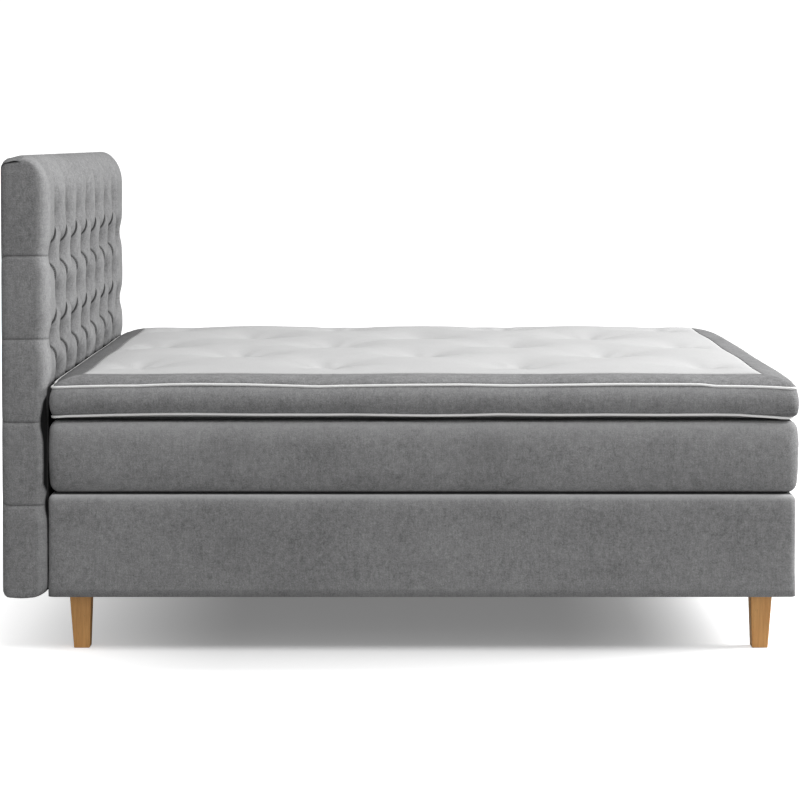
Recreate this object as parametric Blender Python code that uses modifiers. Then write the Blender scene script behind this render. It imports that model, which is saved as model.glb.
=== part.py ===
"""Box spring bed: sprung base on oak legs, diamond-tufted headboard, mattress and topper.

Metres, +Z up. X runs along the bed from the headboard (-X) to the foot (+X), and Y across it.
The origin is on the floor, under the middle of the whole bed.
"""

import math

import bmesh
import bpy
from mathutils import Matrix, Vector

# Fits
SEAT_GAP = 0.0003
CUT_OVERRUN = 0.012
BORE_CLEARANCE = 0.001
MERGE_DISTANCE = 0.00001
FILLING_ROUND_EASE = 0.0025

# Bed: the base, headboard, mattress and topper are made to its length and width
BED_LENGTH = 2.006
BED_WIDTH = 1.800

# Base
BASE_HEIGHT = 0.277
BASE_CORNER_RADIUS = 0.020
BASE_COVER_WALL = 0.004
DUST_COVER_THICKNESS = 0.002
RAIL_THICKNESS = 0.022
RAIL_HEIGHT = 0.200
CENTRE_RAIL_THICKNESS = 0.045
CENTRE_RAIL_HEIGHT = 0.060
LEDGE_THICKNESS = 0.025
LEDGE_HEIGHT = 0.030
SLAT_COUNT = 7
SLAT_WIDTH = 0.090
SLAT_THICKNESS = 0.018
CORNER_BLOCK_SIDE = 0.100
BASE_POCKET_PITCH = 0.120
BASE_POCKET_SWELL = 0.012

# Legs
LEG_HEIGHT = 0.150
LEG_TOP_SIDE = 0.058
LEG_OUTER_TAPER = 0.0100
LEG_INNER_TAPER = 0.0052
LEG_INSET = 0.053
LEG_EDGE_ROUND = 0.0015
CENTRE_LEG_TOP_RADIUS = 0.025
CENTRE_LEG_FOOT_RADIUS = 0.020
CENTRE_LEG_CHAMFER = 0.003
LEG_BOLT_DEPTH = 0.035

# Bolts
BOLT_RADIUS = 0.004
BOLT_HEAD_RADIUS = 0.009
BOLT_HEAD_HEIGHT = 0.005
BOLT_CROWN_RADIUS = 0.006
BOLT_TIP_CLEARANCE = 0.001

# Headboard
HEADBOARD_HEIGHT = 1.188
HEADBOARD_BOTTOM_DROP = 0.003
HEADBOARD_THICKNESS = 0.1325
HEADBOARD_PRESS_DEPTH = 0.0107
HEADBOARD_PRESS_RISE = 0.0727
HEADBOARD_PRESS_BLEND = 0.060
HEADBOARD_BACK_RADIUS = 0.022
HEADBOARD_SIDE_ROUND = (0.040, 0.050)
HEADBOARD_TOP_ROUND = (0.071, 0.110)
HEADBOARD_BOTTOM_ROUND = (0.054, 0.048)
HEADBOARD_TOP_SLOPE = 0.007
HEADBOARD_SHOULDER_DROP = 0.011
HEADBOARD_SHOULDER_WIDTH = 0.060
HEADBOARD_WALL = 0.016
HEADBOARD_LIP_WALL = 0.003
HEADBOARD_LIP_WIDTH = 0.034
HEADBOARD_CLOTH_THICKNESS = 0.002
BATTEN_THICKNESS = 0.022
BATTEN_WIDTH = 0.070
HEADBOARD_PANEL_THICKNESS = 0.016
HEADBOARD_FOAM_THICKNESS = 0.035
HEADBOARD_BOLT_RISE = 0.042
HEADBOARD_BOLT_FROM_BLOCK = 0.1234
HEADBOARD_BOLT_SPACING = 0.400

# Headboard tufting: an outer tuft row has TUFT_COLUMNS tufts, an inner row one fewer
TUFT_COLUMNS = 8
TUFT_ROWS = 9
TUFT_TOP_MARGIN = 0.1575
TUFT_BOTTOM_MARGIN = 0.1377
TUFT_DEPTH = 0.042
TUFT_CREASE_SHARE = 0.40
TUFT_CHANNEL_SHARE = 0.80
TUFT_PUFF_POWER = 0.55
PLEAT_DRAW_IN = 0.005
CHANNEL_DRAW_IN = 0.002

# Mattress
MATTRESS_FOOT_OVERHANG = 0.009
MATTRESS_SIDE_OVERHANG = 0.002
MATTRESS_HEIGHT = 0.200
MATTRESS_SWELL = 0.004
MATTRESS_EDGE_RADIUS = 0.028
MATTRESS_COVER_WALL = 0.005
MATTRESS_RETURN = 0.120
MATTRESS_FOAM_TOP = 0.030
MATTRESS_FOAM_BOTTOM = 0.028
MATTRESS_POCKET_PITCH = 0.100
MATTRESS_POCKET_SWELL = 0.010

# Topper
TOPPER_FOOT_SETBACK = 0.002
TOPPER_CORNER_RADIUS = 0.025
TOPPER_PIPE_RADIUS = 0.003
TOPPER_LOW_PIPE_RISE = 0.0120
TOPPER_BAND_HEIGHT = 0.0785
TOPPER_BAND_WALL = 0.004
TOPPER_BAND_INSET = 0.002
TOPPER_LOW_DRAW_IN = 0.012
TOPPER_BOTTOM_THICKNESS = 0.010
TOPPER_BOTTOM_ROUND = 0.008
TOPPER_FOAM_TOP_DROP = 0.010
TOPPER_FOAM_ROUND = 0.042
TOPPER_BORDER_WIDTH = 0.087
TOPPER_BORDER_EDGE = 0.003
TOPPER_BORDER_RISE = 0.0225
TOPPER_BORDER_PUFF = 0.006
TOPPER_CROWN = 0.0165
TOPPER_CROWN_REACH = 0.160
TOPPER_TUFT_PITCH_X = 0.525
TOPPER_TUFT_PITCH_Y = 0.320
TOPPER_TUFT_ROWS = 5
TOPPER_TUFT_DEPTH = 0.018
TOPPER_TUFT_REACH = 0.085

# Faceting
ROUND_SEGMENTS = 3
BOLT_STEPS = 10
PIPE_RESOLUTION = 2
PIPE_CORNER_STEPS = 4

# Places worked out from the sizes
MATTRESS_LENGTH = BED_LENGTH + MATTRESS_FOOT_OVERHANG
MATTRESS_WIDTH = BED_WIDTH + 2 * MATTRESS_SIDE_OVERHANG
TOPPER_LENGTH = BED_LENGTH - TOPPER_FOOT_SETBACK
OVERALL_LENGTH = HEADBOARD_THICKNESS - HEADBOARD_PRESS_DEPTH + SEAT_GAP + MATTRESS_LENGTH
BACK_X = -OVERALL_LENGTH / 2
CREST_X = BACK_X + HEADBOARD_THICKNESS
PRESS_X = CREST_X - HEADBOARD_PRESS_DEPTH
BASE_HEAD_X = PRESS_X + SEAT_GAP
BASE_FOOT_X = BASE_HEAD_X + BED_LENGTH
BASE_MIDDLE_X = (BASE_HEAD_X + BASE_FOOT_X) / 2
BASE_HALF_WIDTH = BED_WIDTH / 2
BASE_TOP_Z = LEG_HEIGHT + BASE_HEIGHT
RAIL_OUT = BASE_COVER_WALL + SEAT_GAP
RAIL_IN = RAIL_OUT + RAIL_THICKNESS
FRAME_BOTTOM_Z = LEG_HEIGHT + DUST_COVER_THICKNESS + SEAT_GAP
RAIL_TOP_Z = FRAME_BOTTOM_Z + RAIL_HEIGHT
SLAT_BOTTOM_Z = FRAME_BOTTOM_Z + CENTRE_RAIL_HEIGHT + SEAT_GAP
SLAT_TOP_Z = SLAT_BOTTOM_Z + SLAT_THICKNESS
LEG_CENTRE_INSET = LEG_INSET + LEG_TOP_SIDE / 2
INNER_CORNER_RADIUS = BASE_CORNER_RADIUS - BASE_COVER_WALL - SEAT_GAP
MATTRESS_Z = BASE_TOP_Z + SEAT_GAP
MATTRESS_TOP_Z = MATTRESS_Z + MATTRESS_HEIGHT
HEADBOARD_HALF_WIDTH = BED_WIDTH / 2
HEADBOARD_BOTTOM_Z = LEG_HEIGHT - HEADBOARD_BOTTOM_DROP
HEADBOARD_TOP_Z = HEADBOARD_BOTTOM_Z + HEADBOARD_HEIGHT
HEADBOARD_PRESS_TOP_Z = MATTRESS_TOP_Z + HEADBOARD_PRESS_RISE
HEADBOARD_BOLT_Z = LEG_HEIGHT + HEADBOARD_BOLT_RISE
TUFT_PITCH_Y = BED_WIDTH / TUFT_COLUMNS
TUFT_HIGH_Z = HEADBOARD_TOP_Z - TUFT_TOP_MARGIN
TUFT_LOW_Z = HEADBOARD_BOTTOM_Z + TUFT_BOTTOM_MARGIN
TUFT_PITCH_Z = (TUFT_HIGH_Z - TUFT_LOW_Z) * 2 / (TUFT_ROWS - 1)
TOPPER_Z = MATTRESS_TOP_Z + SEAT_GAP
TOPPER_HEAD_X = CREST_X + SEAT_GAP
TOPPER_MIDDLE_X = TOPPER_HEAD_X + TOPPER_LENGTH / 2

# Colour, roughness and metallic value of each finish
FINISHES = {
    "grey_fabric": ((0.17, 0.17, 0.17), 0.95, 0.0),
    "light_grey_fabric": ((0.32, 0.32, 0.32), 0.95, 0.0),
    "white_fabric": ((0.72, 0.72, 0.71), 0.90, 0.0),
    "white_piping": ((0.85, 0.85, 0.84), 0.80, 0.0),
    "felt": ((0.05, 0.05, 0.05), 0.95, 0.0),
    "foam": ((0.80, 0.76, 0.62), 0.90, 0.0),
    "pocket_cloth": ((0.75, 0.75, 0.74), 0.85, 0.0),
    "pine": ((0.66, 0.47, 0.27), 0.60, 0.0),
    "chipboard": ((0.55, 0.42, 0.26), 0.75, 0.0),
    "oak": ((0.42, 0.22, 0.09), 0.45, 0.0),
    "steel": ((0.60, 0.60, 0.62), 0.35, 1.0),
}


# Scene and materials

def clear_scene():
    for old in list(bpy.data.objects):
        bpy.data.objects.remove(old, do_unlink=True)


def new_collection(name):
    collection = bpy.data.collections.new(name)
    bpy.context.scene.collection.children.link(collection)
    return collection


clear_scene()
PARTS = new_collection("box_spring_bed")
CUTTERS = new_collection("cutters")


def finish(name, key):
    colour, roughness, metallic = FINISHES[key]
    material = bpy.data.materials.new(name + "_" + key)
    material.use_nodes = True
    shader = material.node_tree.nodes["Principled BSDF"]
    shader.inputs["Base Color"].default_value = (*colour, 1.0)
    shader.inputs["Roughness"].default_value = roughness
    shader.inputs["Metallic"].default_value = metallic
    material.diffuse_color = (*colour, 1.0)
    return material


def add_part(name, data, key, location=(0, 0, 0)):
    part = bpy.data.objects.new(name, data)
    part.location = location
    PARTS.objects.link(part)
    data.materials.append(finish(name, key))
    return part


def add_mesh_part(name, bm, key, location=(0, 0, 0)):
    bmesh.ops.recalc_face_normals(bm, faces=bm.faces[:])
    mesh = bpy.data.meshes.new(name)
    bm.to_mesh(mesh)
    bm.free()
    return add_part(name, mesh, key, location)


# Blocks and shells: a cube primitive with chosen edges rounded

def upright(axis, middle):
    return axis == 2


def upright_and_top(axis, middle):
    return axis == 2 or middle.z > 0


def upright_and_bottom(axis, middle):
    return axis == 2 or middle.z < 0


def bottom_only(axis, middle):
    return axis != 2 and middle.z < 0


def cube_mesh(size):
    bm = bmesh.new()
    bmesh.ops.create_cube(bm, size=1.0, matrix=Matrix.Diagonal((*size, 1.0)))
    return bm


def open_faces(bm, directions):
    lost = [f for f in bm.faces if any(f.normal.dot(Vector(d)) > 0.9 for d in directions)]
    bmesh.ops.delete(bm, geom=lost, context="FACES_ONLY")


def weigh_edges(bm, chosen):
    weights = bm.edges.layers.float.new("bevel_weight_edge")
    for edge in bm.edges:
        span = edge.verts[1].co - edge.verts[0].co
        axis = max(range(3), key=lambda i: abs(span[i]))
        middle = (edge.verts[0].co + edge.verts[1].co) / 2
        edge[weights] = 1.0 if chosen(axis, middle) else 0.0


def round_edges(part, radius, segments=ROUND_SEGMENTS):
    bevel = part.modifiers.new("rounded_edges", "BEVEL")
    bevel.width = radius
    bevel.segments = segments
    bevel.limit_method = "WEIGHT"


def thicken(part, wall):
    shell = part.modifiers.new("wall", "SOLIDIFY")
    shell.thickness = wall
    shell.offset = -1.0
    shell.use_even_offset = True


def block(name, low, high, key, radius=0.0, chosen=upright, openings=(), wall=0.0):
    low, high = Vector(low), Vector(high)
    bm = cube_mesh(high - low)
    open_faces(bm, openings)
    weigh_edges(bm, chosen)
    part = add_mesh_part(name, bm, key, (low + high) / 2)
    if radius > 0:
        round_edges(part, radius)
    if wall > 0:
        thicken(part, wall)
    return part


def band(name, low, high, key, radius, wall, outsets, turned_in=0.0):
    """A four-sided band whose rings stand out by the outsets; its ends may turn in."""
    low, high = Vector(low), Vector(high)
    size = high - low
    bm = cube_mesh(size)
    if turned_in > 0:
        ends = [face for face in bm.faces if abs(face.normal.z) > 0.9]
        for end in ends:
            bmesh.ops.inset_region(bm, faces=[end], thickness=turned_in)
        bmesh.ops.delete(bm, geom=ends, context="FACES_ONLY")
    else:
        open_faces(bm, ((0, 0, 1), (0, 0, -1)))
    weigh_edges(bm, upright)
    outer = {vert for vert in bm.verts if vert.co.xy.length > size.xy.length / 2 - MERGE_DISTANCE}
    weights = bm.edges.layers.float["bevel_weight_edge"]
    for edge in bm.edges:
        if turned_in > 0 and set(edge.verts) <= outer:
            edge[weights] = 1.0
    for share, _ in outsets[1:-1]:
        level = (share - 0.5) * size.z
        bmesh.ops.bisect_plane(
            bm,
            geom=bm.verts[:] + bm.edges[:] + bm.faces[:],
            plane_co=(0, 0, level),
            plane_no=(0, 0, 1),
        )
    for vert in bm.verts:
        share = vert.co.z / size.z + 0.5
        outset = min(outsets, key=lambda ring: abs(ring[0] - share))[1]
        vert.co.x += outset * math.copysign(1.0, vert.co.x)
        vert.co.y += outset * math.copysign(1.0, vert.co.y)
    for edge in bm.edges:
        if all(vert.co.z == edge.verts[0].co.z for vert in edge.verts):
            inside = abs(edge.verts[0].co.z) < size.z / 2 - MERGE_DISTANCE
            edge[weights] = 0.0 if inside else edge[weights]
    part = add_mesh_part(name, bm, key, (low + high) / 2)
    round_edges(part, radius)
    thicken(part, wall)
    return part


# Turned pieces, bores and cuts

def turned(name, profile, key, location, steps=BOLT_STEPS, turn=(0, 0, 0)):
    bm = bmesh.new()
    points = [bm.verts.new((radius, 0, height)) for radius, height in profile]
    for upper, lower in zip(points, points[1:]):
        bm.edges.new((upper, lower))
    mesh = bpy.data.meshes.new(name)
    bm.to_mesh(mesh)
    bm.free()
    part = add_part(name, mesh, key, location)
    part.rotation_euler = turn
    screw = part.modifiers.new("turned", "SCREW")
    screw.angle = math.tau
    screw.steps = steps
    screw.render_steps = steps
    screw.use_merge_vertices = True
    screw.merge_threshold = MERGE_DISTANCE
    return part


def bolt(name, location, shank, turn=(0, 0, 0)):
    """A round-headed bolt: its seat is at the location and its shank runs down from there."""
    profile = [
        (0, BOLT_HEAD_HEIGHT),
        (BOLT_CROWN_RADIUS, BOLT_HEAD_HEIGHT),
        (BOLT_HEAD_RADIUS, BOLT_HEAD_HEIGHT / 2),
        (BOLT_HEAD_RADIUS, 0),
        (BOLT_RADIUS, 0),
        (BOLT_RADIUS, -shank),
        (0, -shank),
    ]
    return turned(name, profile, "steel", location, turn=turn)


def add_cutter(name, bm, location=(0, 0, 0), turn=(0, 0, 0)):
    mesh = bpy.data.meshes.new(name)
    bm.to_mesh(mesh)
    bm.free()
    cutter = bpy.data.objects.new(name, mesh)
    cutter.location = location
    cutter.rotation_euler = turn
    cutter.hide_render = True
    cutter.display_type = "WIRE"
    CUTTERS.objects.link(cutter)
    return cutter


def bore_cutter(name, location, depth, turn=(0, 0, 0)):
    """A bore that runs from just above its location down to the depth."""
    bm = bmesh.new()
    length = depth + CUT_OVERRUN
    radius = BOLT_RADIUS + BORE_CLEARANCE
    bmesh.ops.create_cone(
        bm,
        cap_ends=True,
        segments=BOLT_STEPS,
        radius1=radius,
        radius2=radius,
        depth=length,
        matrix=Matrix.Translation((0, 0, CUT_OVERRUN - length / 2)),
    )
    return add_cutter(name, bm, location, turn)


def box_cutter(name, low, high):
    low, high = Vector(low), Vector(high)
    return add_cutter(name, cube_mesh(high - low), (low + high) / 2)


def cut(part, cutter):
    difference = part.modifiers.new(cutter.name, "BOOLEAN")
    difference.operation = "DIFFERENCE"
    difference.solver = "EXACT"
    difference.object = cutter


# Base frame

def base_box(name, inset, low_z, high_z, key, **settings):
    """A block that follows the base's outline, set in by the inset on all four sides."""
    low = (BASE_HEAD_X + inset, -BASE_HALF_WIDTH + inset, low_z)
    high = (BASE_FOOT_X - inset, BASE_HALF_WIDTH - inset, high_z)
    return block(name, low, high, key, **settings)


def build_rails():
    for label, side in (("near", -1), ("far", 1)):
        outer = side * (BASE_HALF_WIDTH - RAIL_OUT)
        inner = side * (BASE_HALF_WIDTH - RAIL_IN)
        block(
            "base_side_rail_" + label,
            (BASE_HEAD_X + RAIL_OUT, min(outer, inner), FRAME_BOTTOM_Z),
            (BASE_FOOT_X - RAIL_OUT, max(outer, inner), RAIL_TOP_Z),
            "pine",
            radius=INNER_CORNER_RADIUS,
            chosen=lambda axis, middle, side=side: axis == 2 and middle.y * side > 0,
        )
        ledge_out = side * (BASE_HALF_WIDTH - RAIL_IN - SEAT_GAP)
        ledge_in = ledge_out - side * LEDGE_THICKNESS
        ledge_end = RAIL_IN + CORNER_BLOCK_SIDE + 2 * SEAT_GAP
        block(
            "base_ledge_" + label,
            (
                BASE_HEAD_X + ledge_end,
                min(ledge_out, ledge_in),
                SLAT_BOTTOM_Z - SEAT_GAP - LEDGE_HEIGHT,
            ),
            (BASE_FOOT_X - ledge_end, max(ledge_out, ledge_in), SLAT_BOTTOM_Z - SEAT_GAP),
            "pine",
        )
    end_half = BASE_HALF_WIDTH - RAIL_IN - SEAT_GAP
    head_rail = block(
        "base_head_rail",
        (BASE_HEAD_X + RAIL_OUT, -end_half, FRAME_BOTTOM_Z),
        (BASE_HEAD_X + RAIL_IN, end_half, RAIL_TOP_Z),
        "pine",
    )
    block(
        "base_foot_rail",
        (BASE_FOOT_X - RAIL_IN, -end_half, FRAME_BOTTOM_Z),
        (BASE_FOOT_X - RAIL_OUT, end_half, RAIL_TOP_Z),
        "pine",
    )
    centre_rail = block(
        "base_centre_rail",
        (BASE_HEAD_X + RAIL_IN + SEAT_GAP, -CENTRE_RAIL_THICKNESS / 2, FRAME_BOTTOM_Z),
        (
            BASE_FOOT_X - RAIL_IN - SEAT_GAP,
            CENTRE_RAIL_THICKNESS / 2,
            FRAME_BOTTOM_Z + CENTRE_RAIL_HEIGHT,
        ),
        "pine",
    )
    return head_rail, centre_rail


def build_slats():
    slat_half = BASE_HALF_WIDTH - RAIL_IN - SEAT_GAP
    first = BASE_HEAD_X + RAIL_IN + CORNER_BLOCK_SIDE + SLAT_WIDTH / 2
    last = BASE_FOOT_X - RAIL_IN - CORNER_BLOCK_SIDE - SLAT_WIDTH / 2
    for number in range(SLAT_COUNT):
        middle = first + (last - first) * number / (SLAT_COUNT - 1)
        block(
            "base_slat_{}".format(number + 1),
            (middle - SLAT_WIDTH / 2, -slat_half, SLAT_BOTTOM_Z),
            (middle + SLAT_WIDTH / 2, slat_half, SLAT_TOP_Z),
            "pine",
        )


def scalloped_outline(length, width, pitch, swell):
    """Outline of a pocket spring unit: one outward bow for each pocket along its edges."""
    half_x = length / 2 - swell
    half_y = width / 2 - swell
    corners = [(-half_x, -half_y), (half_x, -half_y), (half_x, half_y), (-half_x, half_y)]
    bow_steps = 4
    points = []
    for index, start in enumerate(corners):
        end = corners[(index + 1) % len(corners)]
        run = Vector((end[0] - start[0], end[1] - start[1]))
        outward = Vector((run.y, -run.x)).normalized()
        steps = round(run.length / pitch) * bow_steps
        for step in range(steps):
            bow = swell * abs(math.sin(math.pi * step / bow_steps))
            points.append(Vector(start) + run * step / steps + outward * bow)
    return points


def spring_core(name, length, width, pitch, swell, location, thickness):
    curve = bpy.data.curves.new(name, "CURVE")
    curve.dimensions = "2D"
    curve.fill_mode = "BOTH"
    curve.extrude = thickness / 2
    outline = scalloped_outline(length, width, pitch, swell)
    spline = curve.splines.new("POLY")
    spline.points.add(len(outline) - 1)
    for point, place in zip(spline.points, outline):
        point.co = (place.x, place.y, 0, 1)
    spline.use_cyclic_u = True
    return add_part(name, curve, "pocket_cloth", location)


def build_base_filling():
    core_low = SLAT_TOP_Z + SEAT_GAP
    inner_cut = 2 * (RAIL_IN + SEAT_GAP)
    spring_core(
        "base_spring_core",
        BED_LENGTH - inner_cut,
        BED_WIDTH - inner_cut,
        BASE_POCKET_PITCH,
        BASE_POCKET_SWELL,
        (BASE_MIDDLE_X, 0, (core_low + RAIL_TOP_Z) / 2),
        RAIL_TOP_Z - core_low,
    )
    base_box(
        "base_pad",
        RAIL_OUT,
        RAIL_TOP_Z + SEAT_GAP,
        BASE_TOP_Z - BASE_COVER_WALL - SEAT_GAP,
        "foam",
        radius=INNER_CORNER_RADIUS + FILLING_ROUND_EASE,
        chosen=upright_and_top,
    )
    cover = base_box(
        "base_cover",
        0,
        LEG_HEIGHT,
        BASE_TOP_Z,
        "grey_fabric",
        radius=BASE_CORNER_RADIUS,
        chosen=upright_and_top,
        openings=((0, 0, -1),),
        wall=BASE_COVER_WALL,
    )
    dust_cover = base_box(
        "base_dust_cover",
        RAIL_OUT,
        LEG_HEIGHT,
        LEG_HEIGHT + DUST_COVER_THICKNESS,
        "felt",
        radius=INNER_CORNER_RADIUS,
    )
    return cover, dust_cover


# Legs

def tapered_leg(name, centre_x, centre_y, side_x, side_y):
    """A square leg whose outer faces lean in more than its inner ones."""
    top_z = LEG_HEIGHT - SEAT_GAP
    half = LEG_TOP_SIDE / 2
    bm = cube_mesh(Vector((LEG_TOP_SIDE, LEG_TOP_SIDE, top_z)))
    for vert in bm.verts:
        if vert.co.z < 0:
            outer_x = vert.co.x * side_x > 0
            outer_y = vert.co.y * side_y > 0
            reach_x = half - (LEG_OUTER_TAPER if outer_x else LEG_INNER_TAPER)
            reach_y = half - (LEG_OUTER_TAPER if outer_y else LEG_INNER_TAPER)
            vert.co.x = math.copysign(reach_x, vert.co.x)
            vert.co.y = math.copysign(reach_y, vert.co.y)
    weigh_edges(bm, lambda axis, middle: axis == 2 or middle.z < 0)
    leg = add_mesh_part(name, bm, "oak", (centre_x, centre_y, top_z / 2))
    round_edges(leg, LEG_EDGE_ROUND, segments=1)
    return leg


def leg_places():
    """Corner number, centre and outward sides of each leg."""
    places = []
    for side_x in (-1, 1):
        for side_y in (-1, 1):
            end_x = BASE_HEAD_X if side_x < 0 else BASE_FOOT_X
            centre_x = end_x - side_x * LEG_CENTRE_INSET
            centre_y = side_y * (BASE_HALF_WIDTH - LEG_CENTRE_INSET)
            places.append((len(places) + 1, centre_x, centre_y, side_x, side_y))
    return places


def corner_block(name, side_x, side_y):
    end_x = BASE_HEAD_X if side_x < 0 else BASE_FOOT_X
    outer_x = end_x - side_x * (RAIL_IN + SEAT_GAP)
    outer_y = side_y * (BASE_HALF_WIDTH - RAIL_IN - SEAT_GAP)
    inner_x = outer_x - side_x * CORNER_BLOCK_SIDE
    inner_y = outer_y - side_y * CORNER_BLOCK_SIDE
    return block(
        name,
        (min(outer_x, inner_x), min(outer_y, inner_y), FRAME_BOTTOM_Z),
        (max(outer_x, inner_x), max(outer_y, inner_y), FRAME_BOTTOM_Z + CENTRE_RAIL_HEIGHT),
        "pine",
    )


def build_legs(dust_cover, centre_rail):
    block_top_z = FRAME_BOTTOM_Z + CENTRE_RAIL_HEIGHT
    seat_z = block_top_z + SEAT_GAP
    tip_z = LEG_HEIGHT - SEAT_GAP - LEG_BOLT_DEPTH
    bore_depth = seat_z - tip_z + BOLT_TIP_CLEARANCE
    for number, centre_x, centre_y, side_x, side_y in leg_places():
        leg = tapered_leg("leg_{}".format(number), centre_x, centre_y, side_x, side_y)
        corner = corner_block("corner_block_{}".format(number), side_x, side_y)
        bolt("leg_bolt_{}".format(number), (centre_x, centre_y, seat_z), seat_z - tip_z)
        bore = bore_cutter(
            "leg_bore_{}".format(number), (centre_x, centre_y, seat_z), bore_depth
        )
        for bored in (leg, corner, dust_cover):
            cut(bored, bore)

    centre = (BASE_MIDDLE_X, 0, 0)
    top_z = LEG_HEIGHT - SEAT_GAP
    centre_leg = turned(
        "centre_leg",
        [
            (0, top_z),
            (CENTRE_LEG_TOP_RADIUS, top_z),
            (CENTRE_LEG_FOOT_RADIUS, CENTRE_LEG_CHAMFER),
            (CENTRE_LEG_FOOT_RADIUS - CENTRE_LEG_CHAMFER, 0),
            (0, 0),
        ],
        "oak",
        centre,
        steps=2 * BOLT_STEPS,
    )
    sunk_z = SLAT_BOTTOM_Z - SEAT_GAP - BOLT_HEAD_HEIGHT - BOLT_TIP_CLEARANCE
    pocket = box_cutter(
        "centre_bolt_pocket",
        (BASE_MIDDLE_X - CENTRE_RAIL_THICKNESS / 3, -CENTRE_RAIL_THICKNESS / 3, sunk_z - SEAT_GAP),
        (
            BASE_MIDDLE_X + CENTRE_RAIL_THICKNESS / 3,
            CENTRE_RAIL_THICKNESS / 3,
            sunk_z + CUT_OVERRUN,
        ),
    )
    cut(centre_rail, pocket)
    bolt("centre_leg_bolt", (BASE_MIDDLE_X, 0, sunk_z), sunk_z - tip_z)
    bore = bore_cutter(
        "centre_leg_bore", (BASE_MIDDLE_X, 0, sunk_z), sunk_z - tip_z + BOLT_TIP_CLEARANCE
    )
    for bored in (centre_leg, centre_rail, dust_cover):
        cut(bored, bore)


# Headboard

def rounding(distance, drop, reach):
    """How far an elliptic edge falls back at a distance from the edge."""
    if distance >= reach:
        return 0.0
    share = 1.0 - max(distance, 0.0) / reach
    return drop * (1.0 - math.sqrt(1.0 - share * share))


def smooth_step(share):
    share = min(max(share, 0.0), 1.0)
    return share * share * (3.0 - 2.0 * share)


def tuft_level(y, z):
    """Fullness of the tufted front: 0 at the bottom of a tuft, 1 on the crest of a diamond."""
    across = (y + HEADBOARD_HALF_WIDTH) / TUFT_PITCH_Y
    up = (z - TUFT_HIGH_Z) / TUFT_PITCH_Z + 0.5
    lowest = 0.5 - (TUFT_ROWS - 1) / 2
    held_across = min(max(across, 0.5), TUFT_COLUMNS - 0.5)
    held_up = min(max(up, lowest), 0.5)
    rising = abs(math.sin(math.pi * (held_across - 0.5 + held_up)))
    falling = abs(math.sin(math.pi * (held_across - 0.5 - held_up)))
    puff = (rising * falling) ** TUFT_PUFF_POWER
    crease = TUFT_CREASE_SHARE * max(rising, falling)
    outside = max(
        abs(across - held_across) * 2,
        (z - TUFT_HIGH_Z) / TUFT_TOP_MARGIN,
        (TUFT_LOW_Z - z) / TUFT_BOTTOM_MARGIN,
    )
    fade = TUFT_CHANNEL_SHARE * min(max(outside, 0.0), 1.0)
    return 1.0 - (1.0 - puff) * (1.0 - crease) * (1.0 - fade)


def headboard_front_x(y, z):
    side = rounding(HEADBOARD_HALF_WIDTH - abs(y), *HEADBOARD_SIDE_ROUND)
    top = rounding(HEADBOARD_TOP_Z - z, *HEADBOARD_TOP_ROUND)
    bottom = rounding(z - HEADBOARD_BOTTOM_Z, *HEADBOARD_BOTTOM_ROUND)
    fall = math.sqrt(side**2 + top**2 + bottom**2)
    front = CREST_X - fall - TUFT_DEPTH * (1.0 - tuft_level(y, z))
    freed = smooth_step((z - HEADBOARD_PRESS_TOP_Z) / HEADBOARD_PRESS_BLEND)
    return min(front, PRESS_X + HEADBOARD_PRESS_DEPTH * freed)


def grid_lines(low, high, quarter, first, count, low_extra, high_extra):
    """Grid lines at each quarter of the tuft pitch, with extra ones where the edges round."""
    lines = [first + quarter * index for index in range(count)]
    return [low] + [low + e for e in low_extra] + lines + [high - e for e in high_extra] + [high]


def shoulder(y):
    """How far the headboard's outline falls at its upper and lower corners."""
    distance = HEADBOARD_HALF_WIDTH - abs(y)
    share = 1.0 - min(distance / HEADBOARD_SHOULDER_WIDTH, 1.0)
    return HEADBOARD_SHOULDER_DROP * share * share


def shouldered_z(y, z):
    if z <= TUFT_HIGH_Z:
        return z
    share = (z - TUFT_HIGH_Z) / TUFT_TOP_MARGIN
    return z - shoulder(y) * share


def extrude_ring(bm, ring, place):
    """Extrude the open edge, put each new corner where place says and give the new ring."""
    result = bmesh.ops.extrude_edge_only(bm, edges=ring)["geom"]
    for item in result:
        if isinstance(item, bmesh.types.BMVert):
            item.co = place(item.co)
    return [item for item in result if isinstance(item, bmesh.types.BMEdge) and item.is_boundary]


def side_start(co):
    """Where the flat side ends: the top falls gently from the crest of the front to the back."""
    fall = HEADBOARD_TOP_SLOPE * max(0.0, (co.z - TUFT_HIGH_Z) / TUFT_TOP_MARGIN)
    return Vector((BACK_X + HEADBOARD_BACK_RADIUS, co.y, co.z - fall))


def rounded_in(inset_share, depth_share):
    """A ring of the rounded back edge, drawn in towards the middle of the back."""
    inset = HEADBOARD_BACK_RADIUS * inset_share
    depth = HEADBOARD_BACK_RADIUS * depth_share
    middle_z = (HEADBOARD_TOP_Z + HEADBOARD_BOTTOM_Z) / 2
    scale_y = 1.0 - inset / HEADBOARD_HALF_WIDTH
    scale_z = 1.0 - inset / (HEADBOARD_TOP_Z - middle_z)

    def place(co):
        return Vector((BACK_X + depth, co.y * scale_y, middle_z + (co.z - middle_z) * scale_z))

    return place


def edge_draw(y, z, at_side, at_end):
    """How far the stitched pleats and channels pull the outline in, across and upright."""
    across = (y + HEADBOARD_HALF_WIDTH) / TUFT_PITCH_Y
    up = (z - TUFT_HIGH_Z) / TUFT_PITCH_Z + 0.5
    beside_tufts = TUFT_LOW_Z < z < TUFT_HIGH_Z
    pleat = max(0.0, 1.0 - 4.0 * abs(up - round(up))) * beside_tufts
    channel = max(0.0, 1.0 - 4.0 * abs(across - round(across)))
    inside = 0.5 < across < TUFT_COLUMNS - 0.5
    return PLEAT_DRAW_IN * pleat * at_side, CHANNEL_DRAW_IN * channel * at_end * inside


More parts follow.
